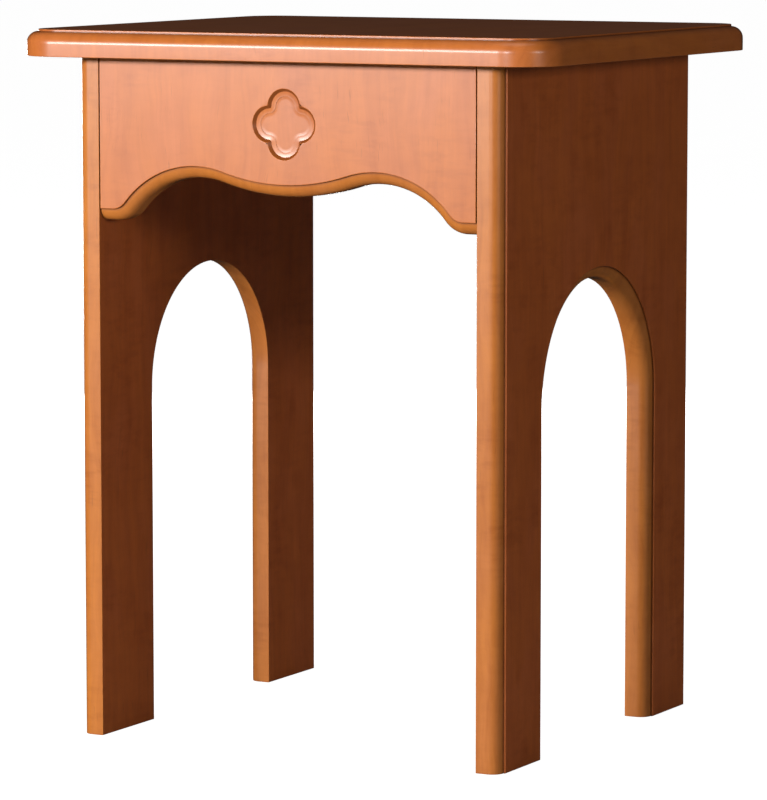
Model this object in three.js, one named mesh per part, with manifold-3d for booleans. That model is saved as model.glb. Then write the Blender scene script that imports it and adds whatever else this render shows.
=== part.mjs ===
// Kneeling bench: a small upright bench made of five moulded boards.
// A top board overhangs two side panels, each with a round-headed arch cut up from the floor.
// Two scalloped aprons tie the side panels together at the front and at the rear.
// Hidden cam fittings and dowels hold the boards, so no fastener shows on an outer face.
//
// Units are millimetres. +Z is up, +X is to the right and -Y is to the front.
// The origin is on the floor, under the centre of the top.

import * as THREE from 'three';
import { mergeVertices } from 'three/addons/utils/BufferGeometryUtils.js';
import Module from 'manifold-3d';

const wasm = await Module();
wasm.setup();

// ---------------------------------------------------------------- driving dimensions

// Overall sizes
const BENCH_HEIGHT = 480;
const FRAME_WIDTH = 320;
const FRAME_DEPTH = 300;
const SIDE_OVERHANG = 39;
const FRONT_OVERHANG = 22;

// Boards
const TOP_THICKNESS = 18;
const PANEL_THICKNESS = 18;
const APRON_THICKNESS = 18;
const TOP_CORNER_RADIUS = 32;
const JOINT_GAP = 0.3;

// Edge moulding: a quarter round (ovolo) that stops at a small step (quirk) below the face
const OVOLO_RADIUS = 8;
const QUIRK_DEPTH = 1.5;

// Arch in each side panel
const ARCH_WIDTH = 163;
const ARCH_SPRING_HEIGHT = 232;

// Apron: height at its ends, and the rises of its scalloped lower edge above those ends
const APRON_HEIGHT = 110;
const MIDDLE_RISE = 20;
const CREST_RISE = 30.5;
const FOOT_LAND = 10;
const FOOT_RADIUS = 20;
const CREST_PLACE = 0.515;

// Carved quatrefoil, set a little above the middle of an apron
const LOBE_RADIUS = 12.2;
const LOBE_OFFSET = 11.4;
const CARVING_DEPTH = 2.8;
const LEDGE_DEPTH = 2.2;
const LEDGE_WIDTH = 5;
const CARVING_LIFT = 3;

// Cam fitting: a round cam in the board's inner face grips the head of a bolt in its mate
const CAM_RADIUS = 7.5;
const CAM_BELOW_BOLT = 4.5;
const CAM_DISTANCE = 34;
const CAM_SLOT_WIDTH = 2;
const CAM_SLOT_LENGTH = 9;
const CAM_SLOT_DEPTH = 2;
const BOLT_THREAD_RADIUS = 2.9;
const BOLT_THREAD_LENGTH = 11;
const BOLT_SHANK_RADIUS = 3.4;
const BOLT_NECK_RADIUS = 2;
const BOLT_NECK_LENGTH = 5;
const BOLT_HEAD_LENGTH = 3;

// Dowels
const DOWEL_RADIUS = 4;
const DOWEL_LENGTH = 30;
const DOWEL_IN_FACE = 11;
const DOWEL_CHAMFER = 1;

// Places of the fittings. In a side panel they are measured in from its front and rear edges, and
// in an apron down from its top, apart from the lower dowel, which is measured up from its ends.
const TOP_CAM_INSET = 65;
const TOP_DOWEL_INSET = 33;
const APRON_UPPER_DOWEL = 20;
const APRON_CAM = 45;
const APRON_LOWER_DOWEL = 22;

// Clearance round a fitting in its hole, and how far a cutter runs past the face it opens
const FIT = 0.3;
const RUN_OFF = 20;

// How finely the round shapes are faceted
const OVOLO_STEPS = 3;
const CORNER_SEGMENTS = 4;
const ARCH_SEGMENTS = 10;
const SCALLOP_SEGMENTS = 4;
const LOBE_SEGMENTS = 4;
const CAM_SEGMENTS = 20;
const BOLT_SEGMENTS = 10;
const DOWEL_SEGMENTS = 10;

// ---------------------------------------------------------------- derived sizes

const underTop = BENCH_HEIGHT - TOP_THICKNESS;
const panelHeight = underTop - JOINT_GAP;
const halfFrameWidth = FRAME_WIDTH / 2;
const halfFrameDepth = FRAME_DEPTH / 2;
const innerHalfWidth = halfFrameWidth - PANEL_THICKNESS;
const halfTopWidth = halfFrameWidth + SIDE_OVERHANG;
const halfTopDepth = halfFrameDepth + FRONT_OVERHANG;
const halfApronLength = innerHalfWidth - JOINT_GAP;
const apronBottom = underTop - APRON_HEIGHT;
const carvingCentre = (underTop + apronBottom + MIDDLE_RISE) / 2 + CARVING_LIFT;
const wholeBench = 2 * Math.max(BENCH_HEIGHT, halfTopWidth, halfTopDepth);

// ---------------------------------------------------------------- materials

const woodgrain = new THREE.MeshStandardMaterial({ color: 0xd98a5c, roughness: 0.42, metalness: 0 });
const zinc = new THREE.MeshStandardMaterial({ color: 0xb4b6b8, roughness: 0.38, metalness: 0.9 });
const beech = new THREE.MeshStandardMaterial({ color: 0xd8b98a, roughness: 0.7, metalness: 0 });

// ---------------------------------------------------------------- solids

/** Turns a closed geometry into a solid that can be joined and cut. */
function solidOf(geometry) {
  const bare = geometry.index ? geometry.clone() : geometry;
  bare.deleteAttribute('normal');
  bare.deleteAttribute('uv');
  const merged = mergeVertices(bare, 1e-4);
  return new wasm.Manifold(new wasm.Mesh({
    numProp: 3,
    vertProperties: new Float32Array(merged.attributes.position.array),
    triVerts: new Uint32Array(merged.index.array),
  }));
}

/** Turns a solid back into a geometry with flat-shaded faces. */
function geometryOf(solid) {
  const mesh = solid.getMesh();
  const geometry = new THREE.BufferGeometry();
  geometry.setAttribute('position', new THREE.BufferAttribute(mesh.vertProperties, 3));
  geometry.setIndex(new THREE.BufferAttribute(mesh.triVerts, 1));
  geometry.computeVertexNormals();
  return geometry;
}

/** A point or a direction. */
function at(x, y, z) {
  return new THREE.Vector3(x, y, z);
}

/** A box between two corners. */
function boxBetween(low, high) {
  const size = new THREE.Vector3().subVectors(high, low);
  const centre = new THREE.Vector3().addVectors(low, high).multiplyScalar(0.5);
  return new THREE.BoxGeometry(size.x, size.y, size.z).translate(centre.x, centre.y, centre.z);
}

/** A solid turned about the Z axis from a profile of [radius, height] pairs. */
function turned(profile, segments) {
  const points = profile.map(([radius, height]) => new THREE.Vector2(radius, height));
  return new THREE.LatheGeometry(points, segments).rotateX(Math.PI / 2);
}

/** A round bar along Z from one height to another. */
function roundBar(radius, low, high, segments) {
  return turned([[0, low], [radius, low], [radius, high], [0, high]], segments);
}

/** A prism over an outline pulled in by inset, from one height to another. */
function prism(outline, inset, low, high, curveSegments) {
  const quarter = (high - low) / 4;
  const geometry = new THREE.ExtrudeGeometry(outline, {
    depth: 2 * quarter,
    bevelEnabled: true,
    bevelThickness: quarter,
    bevelSize: 0,
    bevelOffset: -inset,
    bevelSegments: 1,
    curveSegments,
  });
  return solidOf(geometry.translate(0, 0, low + quarter));
}

/**
 * A blank over an outline, with its back at low and its face at high, and the moulding run all
 * round the face. The quarter round starts at the outline and ends inside it, one step below the face.
 */
function mouldedBlank(outline, low, high, ovolo, quirk, curveSegments) {
  const geometry = new THREE.ExtrudeGeometry(outline, {
    depth: high - low - quirk,
    bevelEnabled: true,
    bevelThickness: ovolo,
    bevelSize: ovolo,
    bevelOffset: -ovolo,
    bevelSegments: OVOLO_STEPS,
    curveSegments,
  });
  geometry.translate(0, 0, low - ovolo);
  const halfway = (low + high) / 2;
  const field = prism(outline, ovolo, halfway, high, curveSegments);
  const aboveBack = boxBetween(at(-wholeBench, -wholeBench, low), at(wholeBench, wholeBench, high + ovolo));
  return solidOf(geometry).add(field).intersect(solidOf(aboveBack));
}

// ---------------------------------------------------------------- outlines

/** The top board from above: a rectangle with round corners. */
function topOutline() {
  const outline = new THREE.Shape();
  const corners = [[1, -1], [1, 1], [-1, 1], [-1, -1]];
  corners.forEach(([sideX, sideY], index) => {
    const x = sideX * (halfTopWidth - TOP_CORNER_RADIUS);
    const y = sideY * (halfTopDepth - TOP_CORNER_RADIUS);
    const start = (index - 1) * Math.PI / 2;
    outline.absarc(x, y, TOP_CORNER_RADIUS, start, start + Math.PI / 2, false);
  });
  return outline;
}

/** A side panel from its side: the arch is open at the floor, and both ends run past the trim. */
function sidePanelOutline() {
  const halfArch = ARCH_WIDTH / 2;
  const outline = new THREE.Shape();
  outline.moveTo(-halfFrameDepth, -RUN_OFF);
  outline.lineTo(-halfArch, -RUN_OFF);
  outline.lineTo(-halfArch, ARCH_SPRING_HEIGHT);
  outline.absarc(0, ARCH_SPRING_HEIGHT, halfArch, Math.PI, 0, true);
  outline.lineTo(halfArch, -RUN_OFF);
  outline.lineTo(halfFrameDepth, -RUN_OFF);
  outline.lineTo(halfFrameDepth, panelHeight + RUN_OFF);
  outline.lineTo(-halfFrameDepth, panelHeight + RUN_OFF);
  return outline;
}

/** The radius sum that lets two arcs that bend opposite ways meet without a corner. */
function meetingRadii(run, rise) {
  return (run * run + rise * rise) / (2 * rise);
}

/** The arcs of the scalloped edge from left to right: foot, crest, middle drop, crest, foot. */
function scallopArcs() {
  const footX = halfApronLength - FOOT_LAND;
  const crestX = CREST_PLACE * footX;
  const crestRadius = meetingRadii(footX - crestX, CREST_RISE) - FOOT_RADIUS;
  const dropRadius = meetingRadii(crestX, CREST_RISE - MIDDLE_RISE) - crestRadius;
  const foot = { z: apronBottom + FOOT_RADIUS, radius: FOOT_RADIUS, hollow: false };
  const crest = { z: apronBottom + CREST_RISE - crestRadius, radius: crestRadius, hollow: true };
  const drop = { z: apronBottom + MIDDLE_RISE + dropRadius, radius: dropRadius, hollow: false };
  return [
    { x: -footX, ...foot },
    { x: -crestX, ...crest },
    { x: 0, ...drop },
    { x: crestX, ...crest },
    { x: footX, ...foot },
  ];
}

/** An apron from the front, with its ends and its top edge run past the trim. */
function apronOutline() {
  const outline = new THREE.Shape();
  const far = halfApronLength + RUN_OFF;
  const straightDown = -Math.PI / 2;
  const arcs = scallopArcs();
  const angleTo = (from, to) => (to ? Math.atan2(to.z - from.z, to.x - from.x) : straightDown);
  outline.moveTo(-far, panelHeight + RUN_OFF);
  outline.lineTo(-far, apronBottom);
  arcs.forEach((arc, index) => {
    const start = angleTo(arc, arcs[index - 1]);
    const end = angleTo(arc, arcs[index + 1]);
    outline.absarc(arc.x, arc.z, arc.radius, start, end, arc.hollow);
  });
  outline.lineTo(far, apronBottom);
  outline.lineTo(far, panelHeight + RUN_OFF);
  return outline;
}

/** A quatrefoil of four round lobes, pulled in by inset, so that it also turns round each cusp. */
function quatrefoilOutline(inset) {
  const halfOffset = LOBE_OFFSET / 2;
  const cusp = halfOffset + Math.sqrt(LOBE_RADIUS * LOBE_RADIUS / 2 - halfOffset * halfOffset);
  const cuspDistance = cusp * Math.SQRT2;
  const spread = Math.atan2(cusp, cusp - LOBE_OFFSET);
  const outline = new THREE.Shape();
  for (let lobe = 0; lobe < 4; lobe += 1) {
    const direction = lobe * Math.PI / 2;
    const x = LOBE_OFFSET * Math.cos(direction);
    const z = carvingCentre + LOBE_OFFSET * Math.sin(direction);
    outline.absarc(x, z, LOBE_RADIUS - inset, direction - spread, direction + spread, false);
    if (inset > 0) {
      const diagonal = direction + Math.PI / 4;
      const cuspX = cuspDistance * Math.cos(diagonal);
      const cuspZ = carvingCentre + cuspDistance * Math.sin(diagonal);
      const fromLobe = direction + spread + Math.PI;
      const toNextLobe = direction - spread + 1.5 * Math.PI;
      outline.absarc(cuspX, cuspZ, inset, fromLobe, toNextLobe, true);
    }
  }
  return outline;
}

// ---------------------------------------------------------------- boards

/** The top board: moulded all round its upper edge. */
function topSolid() {
  return mouldedBlank(topOutline(), 0, TOP_THICKNESS, OVOLO_RADIUS, QUIRK_DEPTH, CORNER_SEGMENTS);
}

/** A side panel: moulded down both long edges and round the arch, square at the floor and the top. */
function sidePanelSolid() {
  const outline = sidePanelOutline();
  const blank = mouldedBlank(outline, 0, PANEL_THICKNESS, OVOLO_RADIUS, QUIRK_DEPTH, ARCH_SEGMENTS);
  const low = at(-FRAME_DEPTH, 0, -RUN_OFF);
  const high = at(FRAME_DEPTH, panelHeight, PANEL_THICKNESS + RUN_OFF);
  return blank.intersect(solidOf(boxBetween(low, high)));
}

/** An apron: moulded along its scalloped lower edge, square elsewhere, with a quatrefoil sunk in two steps. */
function apronSolid() {
  const face = APRON_THICKNESS;
  const outline = apronOutline();
  const blank = mouldedBlank(outline, 0, face, OVOLO_RADIUS, QUIRK_DEPTH, SCALLOP_SEGMENTS);
  const low = at(-halfApronLength, 0, -RUN_OFF);
  const high = at(halfApronLength, panelHeight, face + RUN_OFF);
  const board = blank.intersect(solidOf(boxBetween(low, high)));

  const top = face + RUN_OFF;
  const ledge = prism(quatrefoilOutline(0), 0, face - LEDGE_DEPTH, top, LOBE_SEGMENTS);
  const field = prism(quatrefoilOutline(LEDGE_WIDTH), 0, face - CARVING_DEPTH, top, LOBE_SEGMENTS);
  return board.subtract(ledge).subtract(field);
}

/** A placement whose local axes point along three world directions. */
function placement(xAxis, yAxis, zAxis, origin) {
  return new THREE.Matrix4().makeBasis(xAxis, yAxis, zAxis).setPosition(origin);
}

const right = at(1, 0, 0);
const left = at(-1, 0, 0);
const back = at(0, 1, 0);
const front = at(0, -1, 0);
const up = at(0, 0, 1);

// Each board is drawn flat: its outline lies in local X and Y, and its face is at the top of local Z.
const boards = {
  top: {
    name: 'top_panel',
    solid: topSolid(),
    place: placement(right, back, up, at(0, 0, underTop)),
  },
  right: {
    name: 'right_side_panel',
    solid: sidePanelSolid(),
    place: placement(back, up, right, at(innerHalfWidth, 0, 0)),
  },
  left: {
    name: 'left_side_panel',
    solid: sidePanelSolid(),
    place: placement(front, up, left, at(-innerHalfWidth, 0, 0)),
  },
  front: {
    name: 'front_apron',
    solid: apronSolid(),
    place: placement(right, up, front, at(0, APRON_THICKNESS - halfFrameDepth, 0)),
  },
  rear: {
    name: 'rear_apron',
    solid: apronSolid(),
    place: placement(left, up, back, at(0, halfFrameDepth - APRON_THICKNESS, 0)),
  },
};

/** Cuts a hole in a board with a tool that is placed in the bench's frame. */
function bore(board, tool, toolPlace) {
  const toBoard = board.place.clone().invert().multiply(toolPlace);
  board.solid = board.solid.subtract(solidOf(tool.clone().applyMatrix4(toBoard)));
}

// ---------------------------------------------------------------- fittings

// A fitting's local frame has its origin where the two boards meet, on the centre line of the
// bored board. Local Z runs into the mate, and local X points out of the bored board's inner face.

/** The cam: a round housing, open towards the bolt, with a cross slot for the driver. */
function camGeometry(faceOffset) {
  const housing = roundBar(CAM_RADIUS, -faceOffset - CAM_BELOW_BOLT, 0, CAM_SEGMENTS);
  housing.rotateY(Math.PI / 2).translate(faceOffset, 0, -CAM_DISTANCE);
  const channelRadius = BOLT_SHANK_RADIUS + FIT;
  const channelEnd = -CAM_DISTANCE - BOLT_HEAD_LENGTH;
  const channel = roundBar(channelRadius, channelEnd, 0, BOLT_SEGMENTS);
  const half = CAM_SLOT_LENGTH / 2;
  const halfSlot = CAM_SLOT_WIDTH / 2;
  const slotFloor = faceOffset - CAM_SLOT_DEPTH;
  const slotTop = faceOffset + RUN_OFF;
  const alongY = boxBetween(
    at(slotFloor, -half, -CAM_DISTANCE - halfSlot),
    at(slotTop, half, -CAM_DISTANCE + halfSlot),
  );
  const alongZ = boxBetween(
    at(slotFloor, -halfSlot, -CAM_DISTANCE - half),
    at(slotTop, halfSlot, -CAM_DISTANCE + half),
  );
  const cross = solidOf(alongY).add(solidOf(alongZ));
  return geometryOf(solidOf(housing).subtract(solidOf(channel)).subtract(cross));
}

/** The bolt: threaded into the mate, with a shank and a necked head that the cam grips. */
function boltGeometry() {
  const headEnd = FIT - CAM_DISTANCE - BOLT_HEAD_LENGTH;
  const neckStart = headEnd + BOLT_HEAD_LENGTH;
  const neckEnd = neckStart + BOLT_NECK_LENGTH;
  return turned([
    [0, headEnd],
    [BOLT_SHANK_RADIUS, headEnd],
    [BOLT_SHANK_RADIUS, neckStart],
    [BOLT_NECK_RADIUS, neckStart],
    [BOLT_NECK_RADIUS, neckEnd],
    [BOLT_SHANK_RADIUS, neckEnd],
    [BOLT_SHANK_RADIUS, 0],
    [BOLT_THREAD_RADIUS, 0],
    [BOLT_THREAD_RADIUS, BOLT_THREAD_LENGTH],
    [0, BOLT_THREAD_LENGTH],
  ], BOLT_SEGMENTS);
}

/** A chamfered dowel, with its longer end in the bored board. */
function dowelGeometry() {
  const low = DOWEL_IN_FACE - DOWEL_LENGTH;
  const tip = DOWEL_RADIUS - DOWEL_CHAMFER;
  return turned([
    [0, low],
    [tip, low],
    [DOWEL_RADIUS, low + DOWEL_CHAMFER],
    [DOWEL_RADIUS, DOWEL_IN_FACE - DOWEL_CHAMFER],
    [tip, DOWEL_IN_FACE],
    [0, DOWEL_IN_FACE],
  ], DOWEL_SEGMENTS);
}

const bolt = boltGeometry();
const dowel = dowelGeometry();
const bench = new THREE.Group();

/** Adds one piece of a fitting, placed by the fitting's own frame. */
function addPiece(name, geometry, material, place) {
  const mesh = new THREE.Mesh(geometry, material);
  mesh.name = name;
  mesh.applyMatrix4(place);
  bench.add(mesh);
}

/** Fits a cam and its bolt between a bored board and its mate, and cuts their holes. */
function addCamFitting(prefix, suffix, bored, mate, boredThickness, place) {
  const face = boredThickness / 2;
  const camDepth = face + CAM_BELOW_BOLT + FIT;
  const threadDepth = BOLT_THREAD_LENGTH + FIT;
  const camHole = roundBar(CAM_RADIUS + FIT, -camDepth, RUN_OFF, CAM_SEGMENTS);
  camHole.rotateY(Math.PI / 2).translate(face, 0, -CAM_DISTANCE);
  const boltHole = roundBar(BOLT_SHANK_RADIUS + FIT, -CAM_DISTANCE, RUN_OFF, BOLT_SEGMENTS);
  const threadHole = roundBar(BOLT_THREAD_RADIUS + FIT, -JOINT_GAP, threadDepth, BOLT_SEGMENTS);
  bore(bored, camHole, place);
  bore(bored, boltHole, place);
  bore(mate, threadHole, place);
  addPiece(`${prefix}_cam_${suffix}`, camGeometry(face), zinc, place);
  addPiece(`${prefix}_bolt_${suffix}`, bolt, zinc, place);
}

/** Fits a dowel between a bored board and its mate, and cuts its holes. */
function addDowel(name, bored, mate, place) {
  const holeRadius = DOWEL_RADIUS + FIT;
  const boredEnd = DOWEL_IN_FACE - DOWEL_LENGTH - FIT;
  const mateEnd = DOWEL_IN_FACE + FIT;
  bore(bored, roundBar(holeRadius, boredEnd, RUN_OFF, DOWEL_SEGMENTS), place);
  bore(mate, roundBar(holeRadius, -JOINT_GAP, mateEnd, DOWEL_SEGMENTS), place);
  addPiece(name, dowel, beech, place);
}

// Side panels to top: the fittings stand in the panels and run up into the top.
const sides = [
  { name: 'left', sign: -1, inward: right, across: back },
  { name: 'right', sign: 1, inward: left, across: front },
];
const ends = [
  { name: 'front', sign: -1, inward: back, board: boards.front },
  { name: 'rear', sign: 1, inward: front, board: boards.rear },
];
for (const side of sides) {
  for (const end of ends) {
    const panel = boards[side.name];
    const x = side.sign * (halfFrameWidth - PANEL_THICKNESS / 2);
    const camY = end.sign * (halfFrameDepth - TOP_CAM_INSET);
    const dowelY = end.sign * (halfFrameDepth - TOP_DOWEL_INSET);
    const camPlace = placement(side.inward, side.across, up, at(x, camY, underTop));
    const dowelPlace = placement(side.inward, side.across, up, at(x, dowelY, underTop));
    addCamFitting(`${side.name}_top`, end.name, panel, boards.top, PANEL_THICKNESS, camPlace);
    addDowel(`${side.name}_top_dowel_${end.name}`, panel, boards.top, dowelPlace);
  }
}

// Aprons to side panels: the fittings lie in the aprons and run sideways into the panels.
for (const end of ends) {
  for (const side of sides) {
    const panel = boards[side.name];
    const outward = side.inward.clone().negate();
    const across = outward.clone().cross(end.inward);
    const y = end.sign * (halfFrameDepth - APRON_THICKNESS / 2);
    const placeAt = (z) => placement(end.inward, across, outward, at(side.sign * innerHalfWidth, y, z));
    const camPlace = placeAt(underTop - APRON_CAM);
    const upperPlace = placeAt(underTop - APRON_UPPER_DOWEL);
    const lowerPlace = placeAt(apronBottom + APRON_LOWER_DOWEL);
    const prefix = `${end.name}_apron`;
    addCamFitting(prefix, side.name, end.board, panel, APRON_THICKNESS, camPlace);
    addDowel(`${prefix}_upper_dowel_${side.name}`, end.board, panel, upperPlace);
    addDowel(`${prefix}_lower_dowel_${side.name}`, end.board, panel, lowerPlace);
  }
}

// The boards go in last, once every hole is cut.
for (const board of Object.values(boards)) {
  addPiece(board.name, geometryOf(board.solid), woodgrain, board.place);
}

export default bench;
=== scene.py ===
"""Finished surfaces, light and camera for the kneeling bench.

The five boards are foil-wrapped, with a quarter-round moulding that stops at a small step below
the face. Each board is a stack of rings: its outline, pulled in and raised step by step from the
back to the face. Cam fittings and dowels hold the boards. Lengths are in metres, +Z is up and
the front is towards -Y.
"""

import logging
import math
from abc import ABC, abstractmethod
from dataclasses import dataclass
from enum import Enum
from typing import Callable, Sequence

import bmesh
import bpy
from mathutils import Matrix, Vector


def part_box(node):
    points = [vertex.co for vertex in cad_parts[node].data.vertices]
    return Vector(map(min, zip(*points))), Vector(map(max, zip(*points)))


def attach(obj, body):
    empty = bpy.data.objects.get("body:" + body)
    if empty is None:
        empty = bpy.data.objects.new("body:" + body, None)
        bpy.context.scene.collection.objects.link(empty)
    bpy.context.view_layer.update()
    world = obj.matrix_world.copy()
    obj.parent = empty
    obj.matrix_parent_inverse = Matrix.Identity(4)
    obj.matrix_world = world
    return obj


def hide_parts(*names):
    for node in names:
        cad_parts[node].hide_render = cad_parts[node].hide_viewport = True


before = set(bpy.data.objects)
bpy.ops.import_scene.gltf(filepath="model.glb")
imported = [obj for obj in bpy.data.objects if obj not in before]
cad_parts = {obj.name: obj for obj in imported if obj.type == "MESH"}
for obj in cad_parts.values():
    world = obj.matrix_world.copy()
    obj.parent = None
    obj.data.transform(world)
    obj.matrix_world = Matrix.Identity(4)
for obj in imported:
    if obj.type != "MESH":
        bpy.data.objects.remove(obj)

LOG = logging.getLogger("kneeling_bench")
MM = 0.001
BODY = "root"
FOIL_MAP = "foil"
ARRIS_MARK = "arris"
# Vertex mark of painted shade: 1 at the foot of a step, where the colour is painted darker.
PAINTED_SHADE_MARK = "hollow"
EDGE_MARK = "edge"
CLEARANCE = 0.3 * MM
RUN_OFF = 20 * MM

Point = tuple[float, float]


class Slot(Enum):
    """The record's material slots."""

    FOIL = "woodgrain_foil"
    ZINC = "zinc"
    BEECH = "beech"


class Axis(Enum):
    """The way a fitting points out of the board that holds it."""

    UP = Vector((0, 0, 1))
    LEFT = Vector((-1, 0, 0))
    RIGHT = Vector((1, 0, 0))


# ---------------------------------------------------------------- rings and skins


@dataclass(frozen=True)
class Ring:
    """One level of a board.

    Args:
        inset: how far the moulded edges are pulled in.
        ease: how far the plain edges are pulled in.
        height: distance from the back face.
        arris: 1 on a softened corner, where the foil rubs.
        hollow: 1 at the foot of a step, where the colour is painted darker as painted shade.
        edge: 1 on the board's edge, where the foil is stretched.
    """

    inset: float
    ease: float
    height: float
    arris: float = 0.0
    hollow: float = 0.0
    edge: float = 0.0


@dataclass(frozen=True)
class Moulding:
    """The quarter round along a board's edge, which stops at a step below the face."""

    radius: float = 8 * MM
    step: float = 1.5 * MM
    arris: float = 0.45 * MM
    # Distance from the step over which the painted shade fades out.
    painted_shade_run: float = 2.2 * MM
    round_steps: int = 14
    arris_steps: int = 4

    def rings(self, thickness: float) -> list[Ring]:
        """Lists the rings from the back face to the front face.

        Args:
            thickness: the board's thickness.

        Returns:
            The rings, in order of height.
        """
        found = []
        for turn, mark in quarter_turn(self.arris_steps):
            pull = self.arris * (1 - math.sin(turn))
            rise = self.arris * (1 - math.cos(turn))
            found.append(Ring(pull, pull, rise, arris=mark, edge=1.0 if turn > 0 else 0.0))
        start = thickness - self.step - self.radius
        for turn, _ in quarter_turn(self.round_steps):
            inset = self.radius * (1 - math.cos(turn))
            rise = start + self.radius * math.sin(turn)
            # Painted shade on the quarter round, darkest where it meets the step.
            shade_at_step = max(0.0, 1.0 - (self.radius - inset) / self.painted_shade_run)
            found.append(Ring(inset, 0.0, rise, hollow=shade_at_step, edge=1.0))
        for turn, mark in quarter_turn(self.arris_steps):
            pull = self.arris * (1 - math.cos(turn))
            rise = thickness - self.arris * (1 - math.sin(turn))
            found.append(Ring(self.radius + pull, pull, rise, arris=mark))
        return found


@dataclass(frozen=True)
class Carving:
    """The carved quatrefoil: a sloping wall painted dark as painted shade, a ledge that falls gently, and a
    small step to the field inside.
    """

    lobe_radius: float = 12.2 * MM
    lobe_offset: float = 11.4 * MM
    lift: float = 3 * MM
    rim: float = 0.25 * MM
    wall_run: float = 1.9 * MM
    wall_depth: float = 2.0 * MM
    ledge_run: float = 3.1 * MM
    ledge_fall: float = 0.22 * MM
    step: float = 0.25 * MM
    cove_run: float = 2.5 * MM
    cove_fall: float = 0.12 * MM
    wall_parts: tuple[float, ...] = (0.12, 0.5, 0.9)
    # Painted shade: shares by which the wall, its foot and the line at the small step are painted darker.
    wall_painted_shade: float = 0.8
    foot_painted_shade: float = 0.4
    line_painted_shade: float = 0.64
    curve_steps: int = 7
    lobe_steps: int = 26
    cusp_steps: int = 8

    def rings(self, face: float) -> list[Ring]:
        """Lists the rings from the carving's rim down to the field inside it.

        Args:
            face: height of the board's face.

        Returns:
            The rings, from the outside in.
        """
        found = []
        for turn, mark in quarter_turn(self.curve_steps // 2):
            inset = -self.rim * (1 - math.sin(turn))
            found.append(Ring(inset, 0.0, face - self.rim * (1 - math.cos(turn)), arris=mark))
        wall_fall = self.wall_depth - self.rim
        # The wall is painted dark, a painted shade.
        for part in self.wall_parts:
            height = face - self.rim - wall_fall * part
            found.append(Ring(self.wall_run * part, 0.0, height, hollow=self.wall_painted_shade))
        low = face - self.wall_depth
        found.append(Ring(self.wall_run, 0.0, low, hollow=self.foot_painted_shade))
        for turn, _ in quarter_turn(self.curve_steps)[1:]:
            inset = self.wall_run + self.ledge_run * turn / (math.pi / 2)
            found.append(Ring(inset, 0.0, low - self.ledge_fall * math.sin(turn)))
        ledge_end = self.wall_run + self.ledge_run
        low -= self.ledge_fall + self.step
        found.append(Ring(ledge_end, 0.0, low, hollow=self.line_painted_shade))
        for turn, _ in quarter_turn(self.curve_steps)[1:]:
            inset = ledge_end + self.cove_run * turn / (math.pi / 2)
            found.append(Ring(inset, 0.0, low - self.cove_fall * math.sin(turn)))
        return found

    def outline(self, inset: float, centre: float) -> list[Point]:
        """Draws four lobes, pulled in by inset, turning round each cusp.

        Args:
            inset: distance inside the carved outline, below 0 outside it.
            centre: height of the carving's middle.

        Returns:
            The points of a closed outline, anticlockwise.
        """
        half = self.lobe_offset / 2
        reach = self.lobe_radius - min(inset, 0.0)
        cusp = half + math.sqrt(reach * reach / 2 - half * half)
        spread = math.atan2(cusp, cusp - self.lobe_offset)
        turn_radius = max(inset, 0.0)
        points = []
        for lobe in range(4):
            heading = lobe * math.pi / 2
            middle = (self.lobe_offset * math.cos(heading), centre + self.lobe_offset * math.sin(heading))
            radius = self.lobe_radius - inset
            points += arc(middle, radius, heading - spread, heading + spread, self.lobe_steps)
            diagonal = heading + math.pi / 4
            tip = cusp * math.sqrt(2)
            corner = (tip * math.cos(diagonal), centre + tip * math.sin(diagonal))
            start = heading + spread + math.pi
            end = heading - spread + 1.5 * math.pi
            points += arc(corner, turn_radius, start, end, self.cusp_steps)[1:-1]
        return points


def quarter_turn(steps: int) -> list[tuple[float, float]]:
    """Divides a quarter turn.

    Args:
        steps: number of equal parts.

    Returns:
        Each angle with its rubbing mark, which is 1 halfway and 0 at both ends.
    """
    turns = [math.pi / 2 * k / steps for k in range(steps + 1)]
    return [(turn, math.sin(2 * turn)) for turn in turns]


def arc(centre: Point, radius: float, start: float, end: float, steps: int) -> list[Point]:
    """Points along a circular arc.

    Args:
        centre: centre of the arc.
        radius: radius of the arc.
        start: first angle.
        end: last angle.
        steps: number of equal parts.

    Returns:
        The points, both ends included.
    """
    turns = [start + (end - start) * k / steps for k in range(steps + 1)]
    return [(centre[0] + radius * math.cos(t), centre[1] + radius * math.sin(t)) for t in turns]


@dataclass(frozen=True)
class Place:
    """Where a board's flat drawing lies in the bench."""

    origin: Vector
    across: Vector
    along: Vector
    face: Vector

    def point(self, across: float, along: float, height: float) -> Vector:
        """Places a point of the drawing in the bench."""
        return self.origin + self.across * across + self.along * along + self.face * height


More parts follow.
